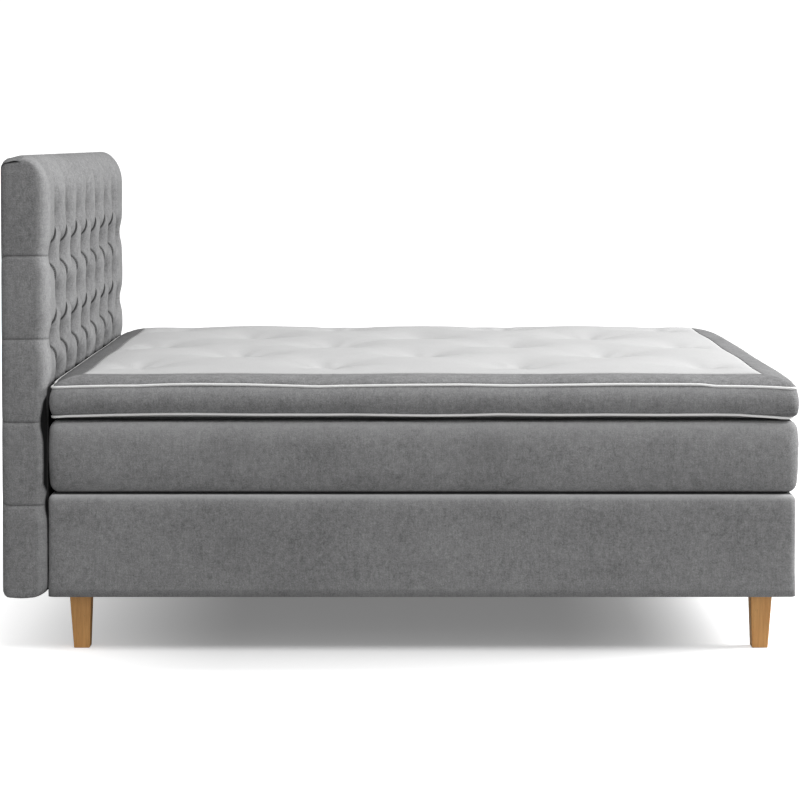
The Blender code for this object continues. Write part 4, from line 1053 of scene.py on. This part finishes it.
def build_topper_border():
    """The sloping grey frame of the top, from the piping up to the white panel's seam."""
    high = HIGH_PIPE + high_wave()
    seam_points = outline(BORDER_WIDTH, PANEL_CORNER)
    seam = HIGH_PIPE + SEAM_RISE + seam_wave(seam_points)
    rings = []
    for share in BORDER_RINGS:
        inset = BORDER_START + (BORDER_WIDTH - BORDER_START) * share
        radius = TOPPER_CORNER + (PANEL_CORNER - TOPPER_CORNER) * share
        puff = BORDER_PUFF * math.sin(math.pi * share ** 0.62) + BORDER_SEAM * (share > 0)
        puff -= BORDER_SEAM * math.exp(-(1.0 - share) / 0.03)
        ring = ring_at(inset, radius, high + (seam - high) * share + puff)
        ring[:, 0] += head_gain(ring[:, 0]) * share
        rings.append(ring)
    border = loft("topper_grey_border", rings)
    spots = corners(border)
    level = np.clip(inside_topper(spots) / BORDER_WIDTH, 0.0, 1.0)
    spots[:, 2] += np.sin(math.pi * level) * unevenness(spots, BORDER_UNEVEN)
    put(border, spots)
    # Painted shade along both seams of the border and over its head end
    from_side, from_head = TOPPER_HALF[1] - np.abs(spots[:, 1]), spots[:, 0] - TOPPER_X[0]
    at_head = smooth_step((TOPPER_X[0] + BORDER_WIDTH - spots[:, 0]) / 0.012)
    at_head *= smooth_step((from_side - from_head) / 0.006)
    outer_line, inner_line = BORDER_LINES
    marks = faded(outer_line, level) + faded(inner_line, 1.0 - level)
    note(border, "painted_shading", np.maximum(marks, BORDER_HEAD_SHADE * at_head))
    smooth(border)
    modify(border, "SOLIDIFY", thickness=0.002, offset=-1.0)
    return border


def build_white_panel():
    """The quilted white middle of the top, soft between its tufts."""
    half = (TOPPER_HALF[0] - BORDER_WIDTH, TOPPER_HALF[1] - BORDER_WIDTH)
    columns, rows = PANEL_CELLS
    bpy.ops.mesh.primitive_grid_add(x_subdivisions=columns, y_subdivisions=rows, size=2)
    panel = fresh("topper_white_panel")
    spots = corners(panel)
    x, y = spots[:, 0] * half[0], spots[:, 1] * half[1]
    edge = np.minimum(half[0] - np.abs(x), half[1] - np.abs(y))
    rise = CROWN * (1.0 - (1.0 - np.minimum(edge / CROWN_REACH, 1.0)) ** 2)
    rolled = PANEL_ROLL * (1.0 - np.exp(-edge / 0.008))
    dip = np.zeros(len(x))
    dice = np.random.RandomState(61)
    for tuft_x, tuft_y in panel_tufts():
        reach = PANEL_TUFT_REACH * dice.uniform(0.9, 1.15)
        phase, spokes = dice.uniform(0, 6.28), dice.randint(5, 8)
        off_x, off_y = x - tuft_x, y - tuft_y
        away = np.hypot(off_x, off_y)
        angle = np.arctan2(off_y, off_x)
        wrinkle = 1.0 + 0.16 * np.sin(spokes * angle + phase) * smooth_step(away / 0.05)
        dip = np.maximum(dip, np.exp(-away * wrinkle / reach))
    height = rise * (1.0 - dip * PANEL_TUFT_DEPTH / CROWN) + rolled
    flat = np.column_stack([x, y, np.zeros(len(x))])
    height += smooth_step(edge / 0.05) * unevenness(flat, PANEL_UNEVEN)
    across = x + TOPPER_MIDDLE
    points = np.column_stack([across, y])
    seam = HIGH_PIPE + SEAM_RISE + seam_wave(points) * np.exp(-edge / 0.05)
    put(panel, np.column_stack([across + head_gain(across), y, seam + height]))
    note(panel, "painted_shading", np.zeros(len(x)))
    swell_cloth(panel, (edge < PANEL_HELD_EDGE) | (dip > PANEL_HELD_DIP))
    smooth(panel)
    modify(panel, "SOLIDIFY", thickness=0.0025, offset=-1.0)
    return panel


def build_topper_underside():
    """The cloth under the topper, from its lower piping in, flat where it rests."""
    low = LOW_PIPE + low_wave()
    rings = []
    for inset, drop in UNDERSIDE_RINGS:
        ring = ring_at(inset, 0.02, low - (low - TOPPER_BOTTOM - REST_CLEARANCE) * drop)
        ring[:, 0] += foot_draw(ring, 0.8 * (1.0 - drop))
        rings.append(ring)
    rings.append(ring_at(UNDERSIDE_FLAT, 0.02, TOPPER_BOTTOM + REST_CLEARANCE))
    underside = loft("topper_underside", rings)
    start_edit(underside, "EDGE")
    bpy.ops.mesh.edge_face_add()
    end_edit()
    spots = corners(underside)
    # Painted shade round the rim of the underside, where it meets the mattress
    note(underside, "painted_shading", np.clip(1.3 - inside_topper(spots) / 0.024, 0.0, 1.0))
    turn_over(underside)
    smooth(underside)
    modify(underside, "SOLIDIFY", thickness=0.0015, offset=-1.0)
    return underside


# Cloth stretched over the hidden sides

def build_stretched_cloth(name, covered, thin_axis, sag):
    """A thin cloth held at its edges in the CAD cloth's place, its middle sagging a little."""
    low, high = (np.array(corner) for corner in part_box(covered))
    spans = [axis for axis in range(3) if axis != thin_axis]
    sizes = [high[axis] - low[axis] for axis in spans]
    bpy.ops.mesh.primitive_grid_add(x_subdivisions=44, y_subdivisions=40, size=2)
    cloth = fresh(name)
    spots = corners(cloth)
    places = np.zeros_like(spots)
    for axis, span in enumerate(spans):
        middle = (low[span] + high[span]) / 2
        places[:, span] = middle + spots[:, axis] * (high[span] - low[span]) / 2
    inside = (1.0 - spots[:, 0] ** 2) * (1.0 - spots[:, 1] ** 2)
    puckers = 0.0006 * ripple(places, 0.18, 71) * np.clip(inside * 4, 0.0, 1.0)
    middle = (low[thin_axis] + high[thin_axis]) / 2
    places[:, thin_axis] = middle + sag * inside + puckers
    put(cloth, places)
    note(cloth, "painted_shading", np.zeros(len(places)))
    smooth(cloth)
    modify(cloth, "SOLIDIFY", thickness=0.0008, offset=0.0)
    return cloth, sizes


# Materials

class Amount:
    """What a material node gives, so that sums with it read as sums."""

    def __init__(self, finish, socket):
        self.finish = finish
        self.socket = socket

    def __add__(self, other):
        return self.finish.maths("ADD", self, other)

    def __radd__(self, other):
        return self.finish.maths("ADD", other, self)

    def __sub__(self, other):
        return self.finish.maths("SUBTRACT", self, other)

    def __rsub__(self, other):
        return self.finish.maths("SUBTRACT", other, self)

    def __mul__(self, other):
        return self.finish.maths("MULTIPLY", self, other)

    def __rmul__(self, other):
        return self.finish.maths("MULTIPLY", other, self)

    def __truediv__(self, other):
        return self.finish.maths("DIVIDE", self, other)

    def __rtruediv__(self, other):
        return self.finish.maths("DIVIDE", other, self)

    def __pow__(self, other):
        return self.finish.maths("POWER", self, other)

    def held(self):
        """Kept between 0 and 1."""
        return self.finish.maths("ADD", self, 0.0, hold=True)


class Finish:
    """A material under construction."""

    def __init__(self, name, **constants):
        self.material = bpy.data.materials.new(name)
        self.material.use_nodes = True
        self.tree = self.material.node_tree
        self.shader = self.tree.nodes["Principled BSDF"]
        for key, value in constants.items():
            self.shader.inputs[key.replace("_", " ")].default_value = value
        self.place = self.node("ShaderNodeTexCoord", {}, {}, "Object")

    def node(self, kind, settings, inputs, output=0):
        """Any node, with its settings first and then what goes into it."""
        made = self.tree.nodes.new(kind)
        for key, value in settings.items():
            setattr(made, key, value)
        for key, value in inputs.items():
            if isinstance(value, Amount):
                self.tree.links.new(value.socket, made.inputs[key])
            else:
                made.inputs[key].default_value = value
        return Amount(self, made.outputs[output])

    def maths(self, operation, first, second, hold=False):
        settings = {"operation": operation, "use_clamp": hold}
        return self.node("ShaderNodeMath", settings, {0: first, 1: second})

    def stretched(self, scale):
        """The place on the piece, scaled differently along x, y and z."""
        return self.node("ShaderNodeMapping", {}, {"Vector": self.place, "Scale": scale})

    def noise(self, scale, detail=4.0, rough=0.5, stretch=(1.0, 1.0, 1.0), warp=0.0):
        """Cloudy noise about its middle, from roughly -1 to 1."""
        inputs = {
            "Vector": self.stretched(stretch),
            "Scale": scale,
            "Detail": detail,
            "Roughness": rough,
            "Distortion": warp,
        }
        return (self.node("ShaderNodeTexNoise", {}, inputs) - 0.5) * 2.0

    def marked(self, name):
        return self.node("ShaderNodeAttribute", {"attribute_name": name}, {}, "Fac")

    def between(self, share, first, second):
        """A colour between two."""
        settings = {"data_type": "RGBA", "clamp_factor": True}
        inputs = {0: share}
        for key, value in ((6, first), (7, second)):
            inputs[key] = value if isinstance(value, Amount) else (*value, 1.0)
        return self.node("ShaderNodeMix", settings, inputs, 2)

    def colour(self, value):
        self.tree.links.new(value.socket, self.shader.inputs["Base Color"])

    def rough(self, value):
        self.tree.links.new(value.socket, self.shader.inputs["Roughness"])

    def relief(self, height, depth):
        """Fine relief, depth metres deep."""
        inputs = {"Strength": 1.0, "Distance": depth, "Height": height}
        bump = self.node("ShaderNodeBump", {}, inputs)
        self.tree.links.new(bump.socket, self.shader.inputs["Normal"])


def nap_cloth(name, dark, light):
    """Short-napped upholstery cloth: cloudy, brushed in patches, with a faint upright weave."""
    cloth = Finish(
        name, Roughness=0.9, Sheen_Weight=0.07, Sheen_Roughness=0.40, Specular_IOR_Level=0.2
    )
    clouds = cloth.noise(4.0, 4.0, 0.55)
    patches = cloth.noise(8.0, 8.0, 0.72, warp=1.6)
    spots = cloth.noise(60.0, 6.0, 0.72, warp=0.5)
    upright = cloth.noise(1.0, 3.0, 0.6, stretch=(190.0, 190.0, 40.0))
    level = cloth.noise(1.0, 3.0, 0.6, stretch=(40.0, 40.0, 200.0))
    grain = cloth.noise(330.0, 3.0, 0.6)
    brushed = (patches * 2.4 - 0.22).held() * (0.60 + spots * 1.4 + grain * 0.6).held()
    tone = 0.58 + clouds * 0.24 + patches * 0.32 + spots * 0.42 + upright * 0.24 + level * 0.18
    tone = (tone + grain * 0.60 - brushed * 0.62).held()
    plain = cloth.between(tone, dark, light)
    # Painted shading from the mesh: above 0 it mixes towards a near-black painted shade, below 0
    # towards a painted highlight
    painted_shading = cloth.marked("painted_shading")
    lit = [channel * 1.8 for channel in light]
    painted_shade_colour = [channel * 0.05 for channel in dark]
    painted_highlight_mix = cloth.between((painted_shading * -1.0).held(), plain, lit)
    cloth.colour(cloth.between(painted_shading.held(), painted_highlight_mix, painted_shade_colour))
    cloth.rough((0.86 + clouds * 0.05).held())
    cloth.relief(upright * 0.3 + level * 0.3 + grain * 0.5 + spots * 0.5, 0.0006)
    return cloth.material


def quilt_cloth(name, dark, light):
    """White knitted ticking with a fine cross grain."""
    cloth = Finish(name, Roughness=0.85, Sheen_Weight=0.15, Specular_IOR_Level=0.25)
    clouds = cloth.noise(5.0, 4.0, 0.5)
    ribs = cloth.noise(1.0, 3.0, 0.6, stretch=(60.0, 420.0, 60.0))
    cross = cloth.noise(1.0, 3.0, 0.6, stretch=(420.0, 60.0, 60.0))
    grain = cloth.noise(700.0, 2.0, 0.5)
    tone = (0.6 + clouds * 0.15 + ribs * 0.14 + cross * 0.14 + grain * 0.08).held()
    plain = cloth.between(tone, dark, light)
    # Painted shade from the mesh, mixing towards a dark grey
    painted_shading = (cloth.marked("painted_shading") * 0.9).held()
    cloth.colour(cloth.between(painted_shading, plain, [channel * 0.12 for channel in dark]))
    cloth.relief(ribs * 0.5 + cross * 0.5 + grain * 0.4, 0.0005)
    return cloth.material


def oak(name):
    """Oiled oak, with its grain upright in the legs."""
    wood = Finish(name, Roughness=0.42, Coat_Weight=0.08, Coat_Roughness=0.35)
    bend = wood.noise(3.0, 2.0, 0.5, stretch=(1.0, 1.0, 0.35))
    spread = wood.noise(1.0, 4.0, 0.6, stretch=(60.0, 60.0, 2.6), warp=0.6)
    rings = wood.noise(1.0, 5.0, 0.55, stretch=(150.0, 150.0, 4.5), warp=0.4)
    pores = wood.noise(1.0, 2.0, 0.5, stretch=(900.0, 900.0, 26.0))
    tone = (0.55 + spread * 0.85 + rings * 0.60 + bend * 0.25).held()
    body = wood.between(tone, (0.70, 0.31, 0.090), (0.98, 0.54, 0.19))
    streak = ((pores * 2.6 - 0.8).held() * 0.75).held()
    wood.colour(wood.between(streak, body, (0.20, 0.085, 0.026)))
    wood.rough((0.44 + rings * 0.08 - pores * 0.04).held())
    wood.relief(rings * 0.3 - pores * 0.6, 0.0003)
    return wood.material


def pine(name):
    """Sawn softwood, grain along the boards."""
    wood = Finish(name, Roughness=0.6, Specular_IOR_Level=0.35)
    spread = wood.noise(1.0, 4.0, 0.6, stretch=(3.0, 3.0, 70.0), warp=0.7)
    fine = wood.noise(1.0, 4.0, 0.6, stretch=(9.0, 9.0, 330.0))
    tone = (0.55 + spread * 0.5 + fine * 0.2).held()
    wood.colour(wood.between(tone, (0.42, 0.24, 0.10), (0.68, 0.48, 0.26)))
    wood.rough((0.62 + fine * 0.06).held())
    wood.relief(fine + spread * 0.5, 0.0004)
    return wood.material


def chipboard(name):
    """Pressed wood flakes."""
    board = Finish(name, Roughness=0.8, Specular_IOR_Level=0.25)
    flakes = board.node("ShaderNodeTexVoronoi", {}, {"Vector": board.place, "Scale": 230.0}, 1)
    grain = board.noise(300.0, 4.0, 0.7)
    tone = (0.5 + grain * 0.7).held()
    body = board.between(tone, (0.28, 0.17, 0.085), (0.55, 0.38, 0.21))
    board.colour(board.between(0.22, body, flakes))
    board.relief(grain, 0.0005)
    return board.material


def foam(name):
    """Open-celled cream foam."""
    sponge = Finish(name, Roughness=0.95, Specular_IOR_Level=0.15)
    cells = sponge.noise(900.0, 3.0, 0.7)
    clouds = sponge.noise(6.0, 3.0, 0.5)
    tone = (0.6 + cells * 0.5 + clouds * 0.2).held()
    sponge.colour(sponge.between(tone, (0.46, 0.42, 0.29), (0.74, 0.70, 0.54)))
    sponge.relief(cells, 0.0008)
    return sponge.material


def felt(name, dark, light):
    """Thin needled cloth for the hidden sides."""
    cloth = Finish(name, Roughness=0.95, Sheen_Weight=0.2, Specular_IOR_Level=0.15)
    fibres = cloth.noise(260.0, 5.0, 0.75, warp=1.5)
    clouds = cloth.noise(9.0, 4.0, 0.6)
    tone = (0.5 + fibres * 0.6 + clouds * 0.3).held()
    cloth.colour(cloth.between(tone, dark, light))
    cloth.relief(fibres, 0.0005)
    return cloth.material


def steel(name):
    """Zinc-plated steel, a little scuffed."""
    metal = Finish(name, Metallic=1.0, Roughness=0.35)
    scuffs = metal.noise(140.0, 5.0, 0.7)
    clouds = metal.noise(25.0, 3.0, 0.5)
    tone = (0.6 + clouds * 0.3 + scuffs * 0.2).held()
    metal.colour(metal.between(tone, (0.42, 0.42, 0.43), (0.66, 0.66, 0.67)))
    metal.rough((0.36 + scuffs * 0.12).held())
    metal.relief(scuffs, 0.0001)
    return metal.material


def piping_cloth(name):
    """White cord cover with the fine grain of its cloth."""
    cloth = Finish(name, Roughness=0.7, Specular_IOR_Level=0.3)
    weave = cloth.noise(1.0, 3.0, 0.6, stretch=(420.0, 420.0, 420.0))
    clouds = cloth.noise(40.0, 3.0, 0.5)
    tone = (0.65 + weave * 0.3 + clouds * 0.2).held()
    cloth.colour(cloth.between(tone, (0.92, 0.92, 0.91), (1.0, 1.0, 0.99)))
    cloth.relief(weave, 0.0004)
    return cloth.material


def finish_with(piece, material):
    """Gives the whole piece one material."""
    slots = piece.data.materials
    if len(slots) == 0:
        slots.append(material)
    for index in range(len(slots)):
        slots[index] = material


# The covers, made and set on their bodies

def dress(piece, material, slot_name, body, nodes=()):
    """Finishes a cover, puts it in the place of its CAD nodes, and sets it on its body."""
    finish_with(piece, material)
    if nodes:
        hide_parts(*nodes)
    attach(piece, body)


MATTRESS_NODES = ("mattress_border", "mattress_top_panel", "mattress_bottom_panel")

grey = nap_cloth("grey_nap_cloth", (0.100, 0.100, 0.102), (0.368, 0.368, 0.371))
white = quilt_cloth("white_ticking", (0.50, 0.50, 0.50), (0.67, 0.67, 0.67))
underlay = quilt_cloth("underside_ticking", (0.50, 0.50, 0.50), (0.68, 0.68, 0.68))
cord_white = piping_cloth("white_cord_cloth")

dress(build_headboard_cover(), grey, "grey_fabric", "base", ("headboard_cover",))
dress(build_buttons(), grey, "grey_fabric", "base")
dress(build_base_cover(), grey, "grey_fabric", "base", ("base_cover",))
dress(build_mattress_cover(), grey, "grey_fabric", "mattress", MATTRESS_NODES)

TOPPER_PIECES = (
    (build_topper_band, grey, "grey_fabric", "topper_band"),
    (build_topper_border, grey, "grey_fabric", "topper_border"),
    (build_white_panel, white, "white_fabric", "topper_panel"),
    (build_topper_underside, underlay, "white_fabric", "topper_bottom_panel"),
)
for build, material, slot_name, node_name in TOPPER_PIECES:
    dress(build(), material, slot_name, "topper", (node_name,))

PIPES = (
    ("topper_low_piping", "topper_piping_bottom", 1, LOW_PIPE, low_wave()),
    ("topper_high_piping", "topper_piping_top", 0, HIGH_PIPE, high_wave()),
)
for name, node_name, lower, level, lift in PIPES:
    pipe = build_piping(name, lower, level, lift)
    dress(pipe, cord_white, "white_piping", "topper", (node_name,))

black_cloth = felt("black_felt", (0.02, 0.02, 0.02), (0.07, 0.07, 0.07))
STRETCHED = (
    ("headboard_back_sheet", "headboard_back_cloth", 0, 0.0006),
    ("base_bottom_sheet", "base_dust_cover", 2, 0.0004),
)
for name, node_name, thin_axis, sag in STRETCHED:
    cloth, sizes = build_stretched_cloth(name, node_name, thin_axis, sag)
    dress(cloth, black_cloth, "felt", "base", (node_name,))
    tuple(sizes)


# The finishes of the CAD parts that stay

pocket_cloth = felt("pocket_cloth", (0.5, 0.5, 0.48), (0.8, 0.8, 0.78))
FINISHES = (
    (("leg_1", "leg_2", "leg_3", "leg_4", "centre_leg"), oak("oiled_oak")),
    (("headboard_panel",), chipboard("chipboard")),
    (("base_spring_core", "mattress_core"), pocket_cloth),
)
pine_wood = pine("pine")
foam_fill = foam("foam")
bolt_steel = steel("zinc_steel")
given = {}
for names, material in FINISHES:
    for name in names:
        given[name] = material
for name, node in nodes.items():
    if name in given:
        finish_with(node, given[name])
    elif "bolt" in name:
        finish_with(node, bolt_steel)
    elif "foam" in name or name == "base_pad":
        finish_with(node, foam_fill)
    else:
        finish_with(node, pine_wood)


# Floor and light

BLACK = (0.0, 0.0, 0.0)
WHITE = (1.0, 1.0, 1.0)
FLOOR_DARK_HALVES = (9.0, 1.10, 0.0)
LIGHTS = (
    ("key_right", (5.3, 0.0, 3.0), (-0.3, 0.0, 0.7), 2.4, 340.0),
    ("top_front", (0.5, -3.2, 6.0), (0.0, 0.0, 0.4), 3.0, 165.0),
    ("fill_front", (-0.5, -7.5, 2.2), (0.0, 0.0, 0.6), 4.0, 28.0),
)
SOFT_STRENGTH = 0.32
BEHIND_STRENGTH = 1.1


def build_floor():
    """A wide pale floor that fades to white away from the bed, as in a light studio: painted
    light, a glow only the camera sees, least under the bed.
    """
    bpy.ops.mesh.primitive_plane_add(size=400, location=(0, 0, 0))
    floor = fresh("studio_floor")
    pale = Finish("pale_floor", Roughness=0.9, Specular_IOR_Level=0.05)
    seen = pale.node("ShaderNodeLightPath", {}, {}, "Is Camera Ray")
    cloud = (0.5 + pale.noise(0.5) * 0.1).held()
    lit = pale.between(cloud, (0.96, 0.96, 0.96), (0.98, 0.98, 0.98))
    # The camera sees a whiter floor than the light that bounces off it
    pale.colour(pale.between(seen, (0.50, 0.50, 0.50), lit))

    def vector(operation, *parts, output="Vector"):
        """A step of maths on places."""
        settings = {"operation": operation}
        return pale.node("ShaderNodeVectorMath", settings, dict(enumerate(parts)), output)

    halves = vector("ABSOLUTE", pale.place)
    off = vector("MAXIMUM", vector("SUBTRACT", halves, FLOOR_DARK_HALVES), BLACK)
    away = vector("LENGTH", off, output="Value")
    along = pale.node("ShaderNodeSeparateXYZ", {}, {0: halves}, "X")
    beside = ((along - 0.45) / 0.60).held() ** 1.5
    # Painted light: the glow rises away from the bed's footprint, and a little is left under it
    glow = beside * 0.48 + (away * 2.4).held() * 0.80 + (along - 1.05).held() + 0.19
    painted_floor_light = pale.between(glow.held() * seen, BLACK, WHITE)
    pale.tree.links.new(painted_floor_light.socket, pale.shader.inputs["Emission Color"])
    pale.shader.inputs["Emission Strength"].default_value = 1.0
    finish_with(floor, pale.material)


def soft_light(name, place, target, size, power):
    """A square area light at place that shines at target."""
    data = bpy.data.lights.new(name, "AREA")
    data.shape = "SQUARE"
    data.size = size
    data.energy = power
    lamp = bpy.data.objects.new(name, data)
    lamp.location = place
    reach = [b - a for a, b in zip(place, target)]
    tilt = math.atan2(math.hypot(reach[0], reach[1]), -reach[2])
    lamp.rotation_euler = (tilt, 0.0, math.atan2(reach[1], reach[0]) - math.pi / 2)
    bpy.context.collection.objects.link(lamp)


def set_world():
    """Soft light from all round, and plain white behind."""
    world = bpy.data.worlds.new("white_studio")
    bpy.context.scene.world = world
    world.use_nodes = True
    tree = world.node_tree
    soft = tree.nodes["Background"]
    bright = tree.nodes.new("ShaderNodeBackground")
    for background, strength in ((soft, SOFT_STRENGTH), (bright, BEHIND_STRENGTH)):
        background.inputs["Color"].default_value = (*WHITE, 1.0)
        background.inputs["Strength"].default_value = strength
    path = tree.nodes.new("ShaderNodeLightPath")
    mix = tree.nodes.new("ShaderNodeMixShader")
    tree.links.new(path.outputs["Is Camera Ray"], mix.inputs[0])
    tree.links.new(soft.outputs[0], mix.inputs[1])
    tree.links.new(bright.outputs[0], mix.inputs[2])
    tree.links.new(mix.outputs[0], tree.nodes["World Output"].inputs["Surface"])


build_floor()
for light in LIGHTS:
    soft_light(*light)
set_world()
bpy.context.scene.view_settings.view_transform = "Standard"
